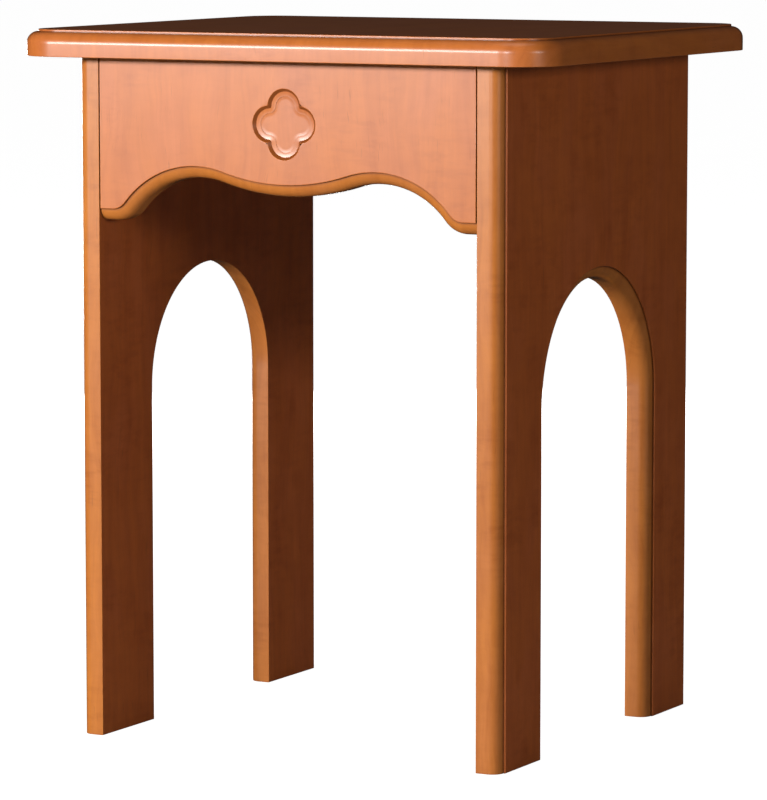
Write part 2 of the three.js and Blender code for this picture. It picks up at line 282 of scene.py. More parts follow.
class Skin:
    """A mesh made of stacked rings, with its foil map and its marks for rubbed corners, painted shade and
    stretched edges.
    """

    def __init__(self, place: Place) -> None:
        """Starts an empty skin in a board's place.

        Args:
            place: where the board stands and which way it faces.
        """
        self.place = place
        self.mesh = bmesh.new()
        self.map = self.mesh.loops.layers.uv.new(FOIL_MAP)
        self.arris = self.mesh.verts.layers.float.new(ARRIS_MARK)
        self.hollow = self.mesh.verts.layers.float.new(PAINTED_SHADE_MARK)
        self.edge = self.mesh.verts.layers.float.new(EDGE_MARK)

    def ring(self, outline: Sequence[Point], ring: Ring) -> list[bmesh.types.BMVert]:
        """Adds one ring of points.

        Args:
            outline: the ring's points in the drawing.
            ring: its height and marks.

        Returns:
            The new vertices.
        """
        made = []
        for across, along in outline:
            vert = self.mesh.verts.new(self.place.point(across, along, ring.height))
            vert[self.arris] = ring.arris
            vert[self.hollow] = ring.hollow
            vert[self.edge] = ring.edge
            made.append(vert)
        return made

    def face(self, verts: Sequence[bmesh.types.BMVert], foil: Sequence[Point]) -> None:
        """Adds a face with its foil coordinates, unless it has closed up to a line.

        Args:
            verts: the face's corners, in order.
            foil: the foil coordinates of each corner.
        """
        spots = []
        for vert, spot in zip(verts, foil):
            if not any((vert.co - other.co).length < 1e-7 for other, _ in spots):
                spots.append((vert, spot))
        if len(spots) < 3:
            return
        made = self.mesh.faces.new([vert for vert, _ in spots])
        for loop, (_, spot) in zip(made.loops, spots):
            loop[self.map].uv = spot

    def strip(
        self,
        low: Sequence[bmesh.types.BMVert],
        high: Sequence[bmesh.types.BMVert],
        low_foil: Callable[[int, int], Point],
        high_foil: Callable[[int, int], Point],
    ) -> None:
        """Joins two rings with a band of faces.

        Args:
            low: the lower ring.
            high: the upper ring.
            low_foil: foil coordinates of a lower corner, from its own and its side's number.
            high_foil: the same for an upper corner.
        """
        count = len(low)
        for side in range(count):
            after = (side + 1) % count
            corners = [low[side], low[after], high[after], high[side]]
            foil = [
                low_foil(side, side),
                low_foil(after, side),
                high_foil(after, side),
                high_foil(side, side),
            ]
            self.face(corners, foil)

    def fill_between(
        self, outer: Sequence[bmesh.types.BMVert], inner: Sequence[bmesh.types.BMVert]
    ) -> None:
        """Fills the flat field between an outer ring and the rim of a carving.

        Args:
            outer: ring round the field.
            inner: ring round the carving.
        """
        edges = []
        for ring in (outer, inner):
            for first, second in zip(ring, [*ring[1:], ring[0]]):
                edge = self.mesh.edges.get((first, second))
                if edge is None:
                    edge = self.mesh.edges.new((first, second))
                edges.append(edge)
        filled = bmesh.ops.triangle_fill(
            self.mesh, edges=edges, use_beauty=True, normal=self.place.face
        )
        for item in filled["geom"]:
            if isinstance(item, bmesh.types.BMFace):
                self.map_flat(item)

    def map_flat(self, item: bmesh.types.BMFace) -> None:
        """Gives a flat face its foil coordinates straight from the drawing."""
        for loop in item.loops:
            local = loop.vert.co - self.place.origin
            loop[self.map].uv = (local.dot(self.place.across), local.dot(self.place.along))

    def finish(self, name: str) -> bpy.types.Object:
        """Welds the skin, turns its faces out and makes an object of it.

        Args:
            name: the object's name.

        Returns:
            The new object.
        """
        bmesh.ops.remove_doubles(self.mesh, verts=self.mesh.verts, dist=1e-7)
        return object_from(self.mesh, name)


def object_from(mesh: bmesh.types.BMesh, name: str) -> bpy.types.Object:
    """Makes a linked object from a mesh under construction, with its faces turned out.

    Args:
        mesh: the mesh, which is freed.
        name: the object's name.

    Returns:
        The new object.
    """
    bmesh.ops.recalc_face_normals(mesh, faces=mesh.faces)
    data = bpy.data.meshes.new(name)
    mesh.to_mesh(data)
    mesh.free()
    made = bpy.data.objects.new(name, data)
    bpy.context.scene.collection.objects.link(made)
    return made


def soften(piece: bpy.types.Object, angle: float = 35.0) -> None:
    """Shades a piece smoothly up to an angle, with its flats kept flat.

    Args:
        piece: the object to shade.
        angle: sharpest fold that still shades smoothly, in degrees.
    """
    piece.data.polygons.foreach_set("use_smooth", [True] * len(piece.data.polygons))
    piece.data.set_sharp_from_angle(angle=math.radians(angle))
    weighted = piece.modifiers.new("flat_faces", "WEIGHTED_NORMAL")
    weighted.keep_sharp = True
    weighted.weight = 90


def cut(piece: bpy.types.Object, cutters: Sequence[bpy.types.Object]) -> None:
    """Cuts holes in a piece and removes the cutters.

    Args:
        piece: the object to cut.
        cutters: closed solids, one for each hole.
    """
    for cutter in cutters:
        modifier = piece.modifiers.new("hole", "BOOLEAN")
        modifier.operation = "DIFFERENCE"
        modifier.solver = "EXACT"
        modifier.object = cutter
    bpy.context.view_layer.update()
    depsgraph = bpy.context.evaluated_depsgraph_get()
    shaped = bpy.data.meshes.new_from_object(
        piece.evaluated_get(depsgraph), preserve_all_data_layers=True, depsgraph=depsgraph
    )
    piece.modifiers.clear()
    piece.data = shaped
    for cutter in cutters:
        data = cutter.data
        bpy.data.objects.remove(cutter)
        bpy.data.meshes.remove(data)


def turned_surface(
    radius_at: Callable[[float, int], float],
    levels: Sequence[float],
    sides: int,
    spot: Matrix,
) -> bmesh.types.BMesh:
    """Builds a closed round bar whose radius may change along it and round it.

    Args:
        radius_at: radius from the height and the number of the side.
        levels: heights of the rings.
        sides: number of sides.
        spot: places the bar, which is drawn along Z.

    Returns:
        The mesh.
    """
    mesh = bmesh.new()
    rings = []
    for level in levels:
        ring = []
        for side in range(sides):
            turn = 2 * math.pi * side / sides
            radius = radius_at(level, side)
            local = Vector((radius * math.cos(turn), radius * math.sin(turn), level))
            ring.append(mesh.verts.new(spot @ local))
        rings.append(ring)
    for low, high in zip(rings, rings[1:]):
        for side in range(sides):
            after = (side + 1) % sides
            mesh.faces.new((low[side], low[after], high[after], high[side]))
    mesh.faces.new(rings[0][::-1])
    mesh.faces.new(rings[-1])
    return mesh


def round_bar(radius: float, low: float, high: float, spot: Matrix, sides: int = 48) -> bpy.types.Object:
    """Makes a plain round cutter between two heights."""
    return object_from(turned_surface(lambda _level, _side: radius, (low, high), sides, spot), "cutter")


def pointing(axis: Vector, origin: Vector) -> Matrix:
    """A placement whose local Z points along an axis."""
    return Matrix.Translation(origin) @ axis.to_track_quat("Z", "Y").to_matrix().to_4x4()


def box_centre(node: str) -> Vector:
    """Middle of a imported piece's box."""
    low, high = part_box(node)
    return (low + high) / 2


def finish_piece(piece: bpy.types.Object, node: str, material: bpy.types.Material) -> None:
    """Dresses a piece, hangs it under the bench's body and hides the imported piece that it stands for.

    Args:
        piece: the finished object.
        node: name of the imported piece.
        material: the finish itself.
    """
    piece.data.materials.clear()
    piece.data.materials.append(material)
    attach(piece, BODY)
    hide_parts(node)
    LOG.info("%s: %d faces", piece.name, len(piece.data.polygons))


# ---------------------------------------------------------------- shader groups and finishes


@dataclass(frozen=True)
class Socket:
    """A socket of a shader group: its name, its kind and its value when nothing feeds it."""

    name: str
    kind: str
    value: float | tuple[float, ...] | None = None


class ShaderGroup(ABC):
    """A shader node group that is built once and placed in each material that uses it."""

    title: str
    inputs: tuple[Socket, ...]
    outputs: tuple[Socket, ...]

    def __init__(self) -> None:
        """Builds the group with its sockets and its nodes."""
        self.tree = bpy.data.node_groups.new(self.title, "ShaderNodeTree")
        for side, sockets in (("INPUT", self.inputs), ("OUTPUT", self.outputs)):
            for socket in sockets:
                made = self.tree.interface.new_socket(
                    name=socket.name, in_out=side, socket_type="NodeSocket" + socket.kind
                )
                if socket.value is not None:
                    made.default_value = socket.value
        self.source = self.tree.nodes.new("NodeGroupInput")
        self.sink = self.tree.nodes.new("NodeGroupOutput")
        self.build()

    @abstractmethod
    def build(self) -> None:
        """Adds the nodes between the group's inputs and its outputs."""

    def given(self, name: str) -> bpy.types.NodeSocket:
        """One of the group's own inputs."""
        return self.source.outputs[name]

    def result(self, name: str, socket: bpy.types.NodeSocket) -> None:
        """Feeds one of the group's outputs."""
        self.tree.links.new(socket, self.sink.inputs[name])

    def node(self, kind: str, feeds: dict[int | str, object], **settings: object) -> bpy.types.Node:
        """Adds a node, as add_node does."""
        return add_node(self.tree, kind, feeds, **settings)

    def maths(self, operation: str, *values: object) -> bpy.types.NodeSocket:
        """Adds a Math node.

        Args:
            operation: the node's operation.
            values: numbers or sockets.

        Returns:
            The node's output.
        """
        return self.node("ShaderNodeMath", dict(enumerate(values)), operation=operation).outputs[0]

    def stretched(self, vector: bpy.types.NodeSocket, across: float, along: float) -> bpy.types.NodeSocket:
        """Scales foil coordinates, so that a pattern repeats so many times in a metre each way.

        Args:
            vector: the foil coordinates.
            across: repeats in a metre across the grain.
            along: repeats in a metre along the grain.

        Returns:
            The scaled coordinates.
        """
        scaled = self.node(
            "ShaderNodeVectorMath", {0: vector, 1: (across, along, 1.0)}, operation="MULTIPLY"
        )
        return scaled.outputs[0]

    def noise(self, vector: bpy.types.NodeSocket, detail: float, roughness: float) -> bpy.types.NodeSocket:
        """Adds a Noise node at scale 1 and gives its value.

        Args:
            vector: the coordinates that it reads.
            detail: number of finer layers.
            roughness: how strong the finer layers are.

        Returns:
            The noise, between 0 and 1.
        """
        made = self.node(
            "ShaderNodeTexNoise", {"Vector": vector, "Scale": 1.0, "Detail": detail, "Roughness": roughness}
        )
        return made.outputs[0]

    def spread(self, value: object, low: float, high: float) -> bpy.types.NodeSocket:
        """Maps low to 0 and high to 1, smoothly.

        Args:
            value: a value or a socket.
            low: the value that gives 0.
            high: the value that gives 1.

        Returns:
            The mapped value.
        """
        made = self.node(
            "ShaderNodeMapRange",
            {"Value": value, "From Min": low, "From Max": high},
            interpolation_type="SMOOTHSTEP",
        )
        return made.outputs[0]

    def blend(self, share: object, first: object, second: object) -> bpy.types.NodeSocket:
        """Mixes two colours by a share.

        Args:
            share: how much of the second colour there is, from 0 to 1.
            first: a colour or its socket.
            second: a colour or its socket.

        Returns:
            The mixed colour.
        """
        made = self.node("ShaderNodeMix", {}, data_type="RGBA", clamp_factor=True)
        colours = [s for s in made.inputs if s.type == "RGBA"]
        feed(self.tree, made.inputs[0], share)
        feed(self.tree, colours[0], first)
        feed(self.tree, colours[1], second)
        return next(s for s in made.outputs if s.type == "RGBA")


def feed(tree: bpy.types.NodeTree, socket: bpy.types.NodeSocket, value: object) -> None:
    """Links a socket to another, or sets its value.

    Args:
        tree: the tree that both are in.
        socket: the input.
        value: a socket or a plain value.
    """
    if isinstance(value, bpy.types.NodeSocket):
        tree.links.new(value, socket)
    else:
        socket.default_value = value


def add_node(
    tree: bpy.types.NodeTree, kind: str, feeds: dict[int | str, object], **settings: object
) -> bpy.types.Node:
    """Adds a shader node.

    Args:
        tree: the tree that gets the node.
        kind: the node's type.
        feeds: a number, colour or socket for each input that isn't left as it is.
        settings: the node's own settings.

    Returns:
        The new node.
    """
    made = tree.nodes.new(kind)
    for key, value in settings.items():
        setattr(made, key, value)
    for key, value in feeds.items():
        feed(tree, made.inputs[key], value)
    return made


class WoodFigure(ShaderGroup):
    """Wood grain along one direction: soft mottling, long streaks, curled figure and short pores."""

    title = "Wood figure"
    inputs = (
        Socket("Vector", "Vector"),
        Socket("Base", "Color", (0.6, 0.17, 0.04, 1.0)),
        Socket("Shade", "Color", (0.5, 0.13, 0.03, 1.0)),
        Socket("Blush", "Color", (0.6, 0.18, 0.06, 1.0)),
        Socket("Pore", "Color", (0.2, 0.06, 0.02, 1.0)),
        Socket("Figure", "Float", 1.0),
        Socket("Pores", "Float", 0.5),
    )
    outputs = (Socket("Color", "Color"), Socket("Height", "Float"))

    def build(self) -> None:
        """Layers the figure from broad to fine."""
        vector = self.given("Vector")
        bend = self.noise(self.stretched(vector, 16, 7), 3.0, 0.55)
        wander = self.node("ShaderNodeCombineXYZ", {0: self.maths("MULTIPLY", bend, 0.03)})
        warped = self.node("ShaderNodeVectorMath", {0: vector, 1: wander.outputs[0]}, operation="ADD")
        run = warped.outputs[0]
        mottle = self.spread(self.noise(self.stretched(run, 75, 34), 3.0, 0.6), 0.3, 0.72)
        blush = self.spread(self.noise(self.stretched(run, 34, 13), 2.0, 0.5), 0.4, 0.66)
        streak = self.spread(self.noise(self.stretched(run, 330, 13), 3.0, 0.65), 0.36, 0.72)
        bands = self.spread(self.noise(self.stretched(run, 85, 4), 2.0, 0.55), 0.36, 0.68)
        curl = self.spread(self.noise(self.stretched(run, 60, 190), 2.0, 0.6), 0.4, 0.7)
        patches = self.spread(self.noise(self.stretched(vector, 21, 16), 2.0, 0.5), 0.48, 0.66)
        curled = self.maths("MULTIPLY", curl, self.maths("MULTIPLY_ADD", patches, 0.75, 0.25))
        clouds = self.spread(self.noise(self.stretched(run, 46, 40), 1.0, 0.5), 0.6, 0.78)
        sums = self.maths("MULTIPLY_ADD", mottle, 0.26, self.maths("MULTIPLY", streak, 0.2))
        sums = self.maths("MULTIPLY_ADD", curled, 0.32, sums)
        sums = self.maths("MULTIPLY_ADD", bands, 0.24, sums)
        sums = self.maths("MULTIPLY_ADD", clouds, 0.22, sums)
        shade = self.maths("MULTIPLY", sums, self.given("Figure"))
        tinted = self.blend(self.maths("MULTIPLY", blush, 0.75), self.given("Base"), self.given("Blush"))
        figured = self.blend(shade, tinted, self.given("Shade"))
        dashes = self.noise(self.stretched(run, 1100, 55), 1.0, 0.5)
        groups = self.spread(self.noise(self.stretched(run, 60, 16), 1.0, 0.5), 0.48, 0.62)
        pores = self.maths("MULTIPLY", self.spread(dashes, 0.66, 0.76), groups)
        strength = self.maths("MULTIPLY", pores, self.given("Pores"))
        self.result("Color", self.blend(strength, figured, self.given("Pore")))
        relief = self.maths("MULTIPLY_ADD", pores, -0.7, self.maths("MULTIPLY", streak, 0.3))
        self.result("Height", relief)


class EdgeWearAndShade(ShaderGroup):
    """Corners rubbed a little paler, and painted shade: the feet of steps and crevices painted darker."""

    title = "Edge wear"
    inputs = (
        Socket("Vector", "Vector"),
        Socket("Color", "Color", (0.5, 0.2, 0.1, 1.0)),
        Socket("Rubbed", "Color", (0.8, 0.4, 0.2, 1.0)),
        Socket("Settled", "Color", (0.1, 0.02, 0.01, 1.0)),
        Socket("Stretch", "Vector", (1.0, 1.0, 1.0)),
        Socket("Stretching", "Float", 1.0),
        Socket("Warmth", "Float", 0.0),
        Socket("Edge", "Float", 0.0),
        Socket("Arris", "Float", 0.0),
        Socket("Hollow", "Float", 0.0),
        Socket("Openness", "Float", 1.0),
        Socket("Rubbing", "Float", 0.4),
        Socket("Settling", "Float", 0.5),
    )
    outputs = (Socket("Color", "Color"), Socket("Polish", "Float"))

    def build(self) -> None:
        """Breaks the rubbing up with a slow noise, so that no edge is worn evenly, and paints shade darker
        at the feet of steps and in crevices.
        """
        patch = self.spread(self.noise(self.stretched(self.given("Vector"), 45, 45), 3.0, 0.6), 0.25, 0.75)
        uneven = self.maths("MULTIPLY_ADD", patch, 0.6, 0.4)
        rubbed = self.maths("MULTIPLY", self.given("Arris"), self.given("Rubbing"))
        rubbed = self.maths("MULTIPLY", rubbed, uneven)
        # Painted shade: where the occlusion finds little open space, and at the feet of steps.
        crevice = self.spread(self.given("Openness"), 0.62, 0.2)
        deep = self.maths("MAXIMUM", self.maths("POWER", self.given("Hollow"), 2.0), crevice)
        painted_shade_share = self.maths("MULTIPLY", deep, self.given("Settling"))
        golden = self.node(
            "ShaderNodeVectorMath", {0: self.given("Color"), 1: self.given("Stretch")}, operation="MULTIPLY"
        )
        stretching, warmth = self.given("Stretching"), self.given("Warmth")
        thinned = self.maths("MULTIPLY_ADD", self.given("Edge"), stretching, warmth)
        stretched = self.blend(thinned, self.given("Color"), golden.outputs[0])
        paler = self.blend(rubbed, stretched, self.given("Rubbed"))
        self.result("Color", self.blend(painted_shade_share, paler, self.given("Settled")))
        self.result("Polish", rubbed)


class Handling(ShaderGroup):
    """Roughness that varies with faint smears and a fine grain."""

    title = "Handling"
    inputs = (
        Socket("Vector", "Vector"),
        Socket("Roughness", "Float", 0.4),
        Socket("Smears", "Float", 0.05),
        Socket("Grain", "Float", 0.03),
        Socket("Polish", "Float", 0.0),
    )
    outputs = (Socket("Roughness", "Float"),)

    def build(self) -> None:
        """Adds the smears and the grain to the given roughness, and takes the polish off it."""
        smears = self.noise(self.stretched(self.given("Vector"), 16, 9), 4.0, 0.6)
        smear = self.maths("SUBTRACT", smears, 0.5)
        grains = self.noise(self.stretched(self.given("Vector"), 900, 300), 2.0, 0.5)
        grain = self.maths("SUBTRACT", grains, 0.5)
        rough = self.maths("MULTIPLY_ADD", smear, self.given("Smears"), self.given("Roughness"))
        rough = self.maths("MULTIPLY_ADD", grain, self.given("Grain"), rough)
        self.result("Roughness", self.maths("MULTIPLY_ADD", self.given("Polish"), -0.06, rough))


class Lacquer(ShaderGroup):
    """The print under a clear skin, which lets less light through at a grazing view."""

    title = "Lacquer"
    inputs = (
        Socket("Color", "Color", (0.5, 0.2, 0.1, 1.0)),
        Socket("Facing", "Float", 0.0),
        Socket("Bounced", "Float", 0.0),
        Socket("Grazing Loss", "Float", 0.5),
        Socket("Bounce Loss", "Float", 0.5),
    )
    outputs = (Socket("Color", "Color"),)

    def build(self) -> None:
        """Darkens the print where the view skims the surface, and in light that it passes on."""
        skim = self.spread(self.given("Facing"), 0.62, 0.97)
        skimmed = self.maths("MULTIPLY", skim, self.given("Grazing Loss"))
        passed_on = self.maths("MULTIPLY", self.given("Bounced"), self.given("Bounce Loss"))
        share = self.maths("MAXIMUM", skimmed, passed_on)
        self.result("Color", self.blend(share, self.given("Color"), opaque((0.0, 0.0, 0.0))))


@dataclass(frozen=True)
class Groups:
    """The shared shader groups."""

    figure: WoodFigure
    wear: EdgeWearAndShade
    handling: Handling
    lacquer: Lacquer

    def place(
        self, tree: bpy.types.NodeTree, group: ShaderGroup, feeds: dict[str, object]
    ) -> bpy.types.Node:
        """Places a group in a material with its own values.

        Args:
            tree: the material's tree.
            group: the shared group.
            feeds: the values or sockets of its inputs.

        Returns:
            The group's node.
        """
        made = tree.nodes.new("ShaderNodeGroup")
        made.node_tree = group.tree
        for key, value in feeds.items():
            feed(tree, made.inputs[key], value)
        return made


def bare_material(name: str) -> tuple[bpy.types.Material, bpy.types.NodeTree, bpy.types.Node]:
    """Starts a material with only its main shader.

    Args:
        name: the material's name.

    Returns:
        The material, its tree and its main shader.
    """
    material = bpy.data.materials.new(name)
    material.use_nodes = True
    tree = material.node_tree
    tree.nodes.clear()
    shader = tree.nodes.new("ShaderNodeBsdfPrincipled")
    output = tree.nodes.new("ShaderNodeOutputMaterial")
    tree.links.new(shader.outputs[0], output.inputs["Surface"])
    return material, tree, shader


def opaque(colour: tuple[float, float, float]) -> tuple[float, float, float, float]:
    """A colour with full cover."""
    return (*colour, 1.0)


@dataclass(frozen=True)
class WoodgrainFoil:
    """Satin printed foil in a warm reddish brown, stretched over moulded board."""

    base: tuple[float, float, float] = (0.63, 0.153, 0.03)
    shade: tuple[float, float, float] = (0.45, 0.094, 0.017)
    blush: tuple[float, float, float] = (0.62, 0.152, 0.042)
    pore: tuple[float, float, float] = (0.2, 0.045, 0.012)
    rubbed: tuple[float, float, float] = (0.75, 0.28, 0.1)
    # Colour of the painted shade at the feet of steps and in crevices.
    settled: tuple[float, float, float] = (0.1, 0.014, 0.002)
    stretch: tuple[float, float, float] = (1.0, 1.34, 1.2)
    roughness: float = 0.305
    relief: float = 0.04 * MM
    grazing_loss: float = 0.5
    bounce_loss: float = 0.85
    # Reach of the occlusion that places painted shade in crevices and gaps between parts.
    crevice: float = 3 * MM
    pores: float = 0.35
    rubbing: float = 0.15
    settling: float = 0.9
    smears: float = 0.06
    grain: float = 0.04
    ior: float = 1.55

    def material(self, board: "Board", groups: Groups) -> bpy.types.Material:
        """Makes the foil of one board.

        Args:
            board: the board, whose seed moves the pattern so that no two boards match.
            groups: the shared shader groups.

        Returns:
            The material.
        """
        material, tree, shader = bare_material("foil_" + board.node)
        spot = add_node(tree, "ShaderNodeUVMap", {}, uv_map=FOIL_MAP)
        shift = (board.seed, board.seed * 0.37, board.seed)
        moved = add_node(tree, "ShaderNodeVectorMath", {0: spot.outputs[0], 1: shift}, operation="ADD")
        vector = moved.outputs[0]
        arris = add_node(tree, "ShaderNodeAttribute", {}, attribute_name=ARRIS_MARK)
        # Reads the painted shade mark at the feet of steps.
        hollow = add_node(tree, "ShaderNodeAttribute", {}, attribute_name=PAINTED_SHADE_MARK)
        edge = add_node(tree, "ShaderNodeAttribute", {}, attribute_name=EDGE_MARK)
        # Painted shade: ambient occlusion darkens the colour in crevices and gaps between parts.
        openness = add_node(tree, "ShaderNodeAmbientOcclusion", {"Distance": self.crevice}, samples=6)
        figure = groups.place(
            tree,
            groups.figure,
            {
                "Vector": vector,
                "Base": opaque(self.base),
                "Shade": opaque(self.shade),
                "Blush": opaque(self.blush),
                "Pore": opaque(self.pore),
                "Figure": board.figure,
                "Pores": self.pores,
            },
        )
        wear = groups.place(
            tree,
            groups.wear,
            {
                "Vector": vector,
                "Color": figure.outputs["Color"],
                "Rubbed": opaque(self.rubbed),
                "Settled": opaque(self.settled),
                "Stretch": self.stretch,
                "Stretching": board.stretching,
                "Warmth": board.warmth,
                "Edge": edge.outputs["Fac"],
                "Arris": arris.outputs["Fac"],
                "Hollow": hollow.outputs["Fac"],
                "Openness": openness.outputs["AO"],
                "Rubbing": self.rubbing,
                "Settling": self.settling,
            },
        )
        handling = groups.place(
            tree,
            groups.handling,
            {
                "Vector": vector,
                "Roughness": self.roughness,
                "Smears": self.smears,
                "Grain": self.grain,
                "Polish": wear.outputs["Polish"],
            },
        )
        raised = {"Strength": 0.5, "Distance": self.relief, "Height": figure.outputs["Height"]}
        bump = add_node(tree, "ShaderNodeBump", raised)
        facing = tree.nodes.new("ShaderNodeLayerWeight").outputs["Facing"]
        bounced = tree.nodes.new("ShaderNodeLightPath").outputs["Is Diffuse Ray"]
        clear = groups.place(
            tree,
            groups.lacquer,
            {
                "Color": wear.outputs["Color"],
                "Facing": facing,
                "Bounced": bounced,
                "Grazing Loss": self.grazing_loss,
                "Bounce Loss": self.bounce_loss,
            },
        )
        tree.links.new(clear.outputs["Color"], shader.inputs["Base Color"])
        tree.links.new(handling.outputs["Roughness"], shader.inputs["Roughness"])
        tree.links.new(bump.outputs[0], shader.inputs["Normal"])
        shader.inputs["IOR"].default_value = self.ior
        return material


@dataclass(frozen=True)
class DiecastZinc:
    """Grey die-cast zinc with a slightly pitted skin."""

    bright: tuple[float, float, float] = (0.62, 0.63, 0.64)
    dull: tuple[float, float, float] = (0.42, 0.43, 0.45)
    roughness: float = 0.38
    relief: float = 0.03 * MM

    def material(self, groups: Groups) -> bpy.types.Material:
        """Makes the metal of the cams and the bolts.

        Args:
            groups: the shared shader groups.

        Returns:
            The material.
        """
        material, tree, shader = bare_material("diecast_zinc")
        spot = add_node(tree, "ShaderNodeTexCoord", {}).outputs["Object"]
        cloud = add_node(
            tree, "ShaderNodeTexNoise", {"Vector": spot, "Scale": 260.0, "Detail": 3.0, "Roughness": 0.6}
        )
        tone = add_node(tree, "ShaderNodeMix", {}, data_type="RGBA")
        colours = [s for s in tone.inputs if s.type == "RGBA"]
        feed(tree, tone.inputs[0], cloud.outputs[0])
        feed(tree, colours[0], opaque(self.dull))
        feed(tree, colours[1], opaque(self.bright))
        pits = add_node(tree, "ShaderNodeTexNoise", {"Vector": spot, "Scale": 2200.0, "Detail": 1.0})
        bump = add_node(
            tree, "ShaderNodeBump", {"Strength": 0.6, "Distance": self.relief, "Height": pits.outputs[0]}
        )
        handling = groups.place(
            tree,
            groups.handling,
            {"Vector": spot, "Roughness": self.roughness, "Smears": 0.1, "Grain": 0.1},
        )
        tree.links.new(next(s for s in tone.outputs if s.type == "RGBA"), shader.inputs["Base Color"])
        tree.links.new(handling.outputs["Roughness"], shader.inputs["Roughness"])
        tree.links.new(bump.outputs[0], shader.inputs["Normal"])
        shader.inputs["Metallic"].default_value = 1.0
        return material


@dataclass(frozen=True)
class RawBeech:
    """Pale unfinished beech with short dark flecks."""

    base: tuple[float, float, float] = (0.72, 0.5, 0.28)
    shade: tuple[float, float, float] = (0.58, 0.36, 0.18)
    blush: tuple[float, float, float] = (0.7, 0.44, 0.25)
    fleck: tuple[float, float, float] = (0.36, 0.2, 0.1)
    roughness: float = 0.62
    relief: float = 0.08 * MM

    def material(self, groups: Groups, axis: Axis) -> bpy.types.Material:
        """Makes the wood of the dowels that point one way.

        Args:
            groups: the shared shader groups.
            axis: the way the dowels point, which is the way the grain runs.

        Returns:
            The material.
        """
        material, tree, shader = bare_material("raw_beech_" + axis.name.lower())
        spot = add_node(tree, "ShaderNodeTexCoord", {}).outputs["Object"]
        parts = add_node(tree, "ShaderNodeSeparateXYZ", {0: spot}).outputs
        order = (0, 2, 1) if axis is Axis.UP else (1, 0, 2)
        ordered = add_node(tree, "ShaderNodeCombineXYZ", {k: parts[n] for k, n in enumerate(order)})
        figure = groups.place(
            tree,
            groups.figure,
            {
                "Vector": ordered.outputs[0],
                "Base": opaque(self.base),
                "Shade": opaque(self.shade),
                "Blush": opaque(self.blush),
                "Pore": opaque(self.fleck),
                "Figure": 1.0,
                "Pores": 0.8,
            },
        )
        handling = groups.place(
            tree,
            groups.handling,
            {"Vector": ordered.outputs[0], "Roughness": self.roughness, "Smears": 0.05, "Grain": 0.1},
        )
        raised = {"Strength": 0.6, "Distance": self.relief, "Height": figure.outputs["Height"]}
        bump = add_node(tree, "ShaderNodeBump", raised)
        tree.links.new(figure.outputs["Color"], shader.inputs["Base Color"])
        tree.links.new(handling.outputs["Roughness"], shader.inputs["Roughness"])
        tree.links.new(bump.outputs[0], shader.inputs["Normal"])
        return material


# ---------------------------------------------------------------- boards


class Board(ABC):
    """A foil-wrapped board with a moulded edge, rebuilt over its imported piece."""

    node: str
    seed: float
    moulding: Moulding
    figure: float = 0.9
    stretching: float = 1.0
    warmth: float = 0.0

    @property
    @abstractmethod
    def place(self) -> Place:
        """Where the board's drawing lies."""

    @property
    @abstractmethod
    def thickness(self) -> float:
        """The board's thickness."""

    @abstractmethod
    def outline(self, inset: float, ease: float) -> list[Point]:
        """Draws the board's outline.

        Args:
            inset: how far the moulded edges are pulled in.
            ease: how far the plain edges are pulled in.

        Returns:
            The points of the closed outline, anticlockwise.
        """

    def holes(self) -> list[bpy.types.Object]:
        """Makes a cutter for each hole. A board without fittings has none."""
        return []

    def close_face(self, skin: Skin, ring: list[bmesh.types.BMVert]) -> None:
        """Closes the face of the board, inside its moulding."""
        skin.face(ring, self.outline(self.field_inset, self.moulding.arris))

    @property
    def field_inset(self) -> float:
        """How far inside the outline the flat face starts."""
        return self.moulding.radius + self.moulding.arris

    def build(self) -> bpy.types.Object:
        """Builds the board's skin, closes it and cuts its holes.

        Returns:
            The board's object.
        """
        skin = Skin(self.place)
        levels = self.moulding.rings(self.thickness)
        outlines = [self.outline(level.inset, level.ease) for level in levels]
        rings = [skin.ring(outline, level) for outline, level in zip(outlines, levels)]
        field = outlines[-1]
        drops = self.unrolled(levels)
        for number in range(len(rings) - 1):
            low, high = (
                foil_over_edge(field, drops[number]),
                foil_over_edge(field, drops[number + 1]),
            )
            skin.strip(rings[number], rings[number + 1], low, high)
        skin.face(rings[0][::-1], outlines[0][::-1])
        self.close_face(skin, rings[-1])
        piece = skin.finish(self.node + "_foil")
        cutters = self.holes()
        if cutters:
            cut(piece, cutters)
        soften(piece)
        return piece

    @staticmethod
    def unrolled(levels: Sequence[Ring]) -> list[float]:
        """Measures the foil from the face down to each ring.

        Args:
            levels: the rings from the back to the face.

        Returns:
            The length of foil from the face to each ring.
        """
        drops = [0.0]
        for upper, lower in zip(levels[::-1], levels[-2::-1]):
            length = math.hypot(upper.inset - lower.inset, upper.height - lower.height)
            drops.append(drops[-1] + length)
        return drops[::-1]


def foil_over_edge(field: Sequence[Point], drop: float) -> Callable[[int, int], Point]:
    """Carries the foil's coordinates over the edge of a board.

    Args:
        field: outline of the flat face.
        drop: length of foil from the face down to the ring.

    Returns:
        A function of a corner's number and its side's number, which gives the foil coordinates.
    """
    count = len(field)
    normals = []
    for here, after in zip(field, [*field[1:], field[0]]):
        run = Vector((after[0] - here[0], after[1] - here[1]))
        normals.append(Vector((run.y, -run.x)).normalized() if run.length > 0 else Vector((0, 0)))

    def foil(corner: int, side: int) -> Point:
        """Foil coordinates of a corner, seen from one of its two sides.

        Args:
            corner: number of the corner in the field's outline.
            side: number of the side it is seen from.

        Returns:
            The coordinates across and along the grain.
        """
        normal = normals[side]
        other = normals[(corner - 1) % count] if corner == side else normals[corner]
        if normal.dot(other) > math.cos(math.radians(25)):
            normal = (normal + other).normalized()
        return (field[corner][0] + normal.x * drop, field[corner][1] + normal.y * drop)

    return foil


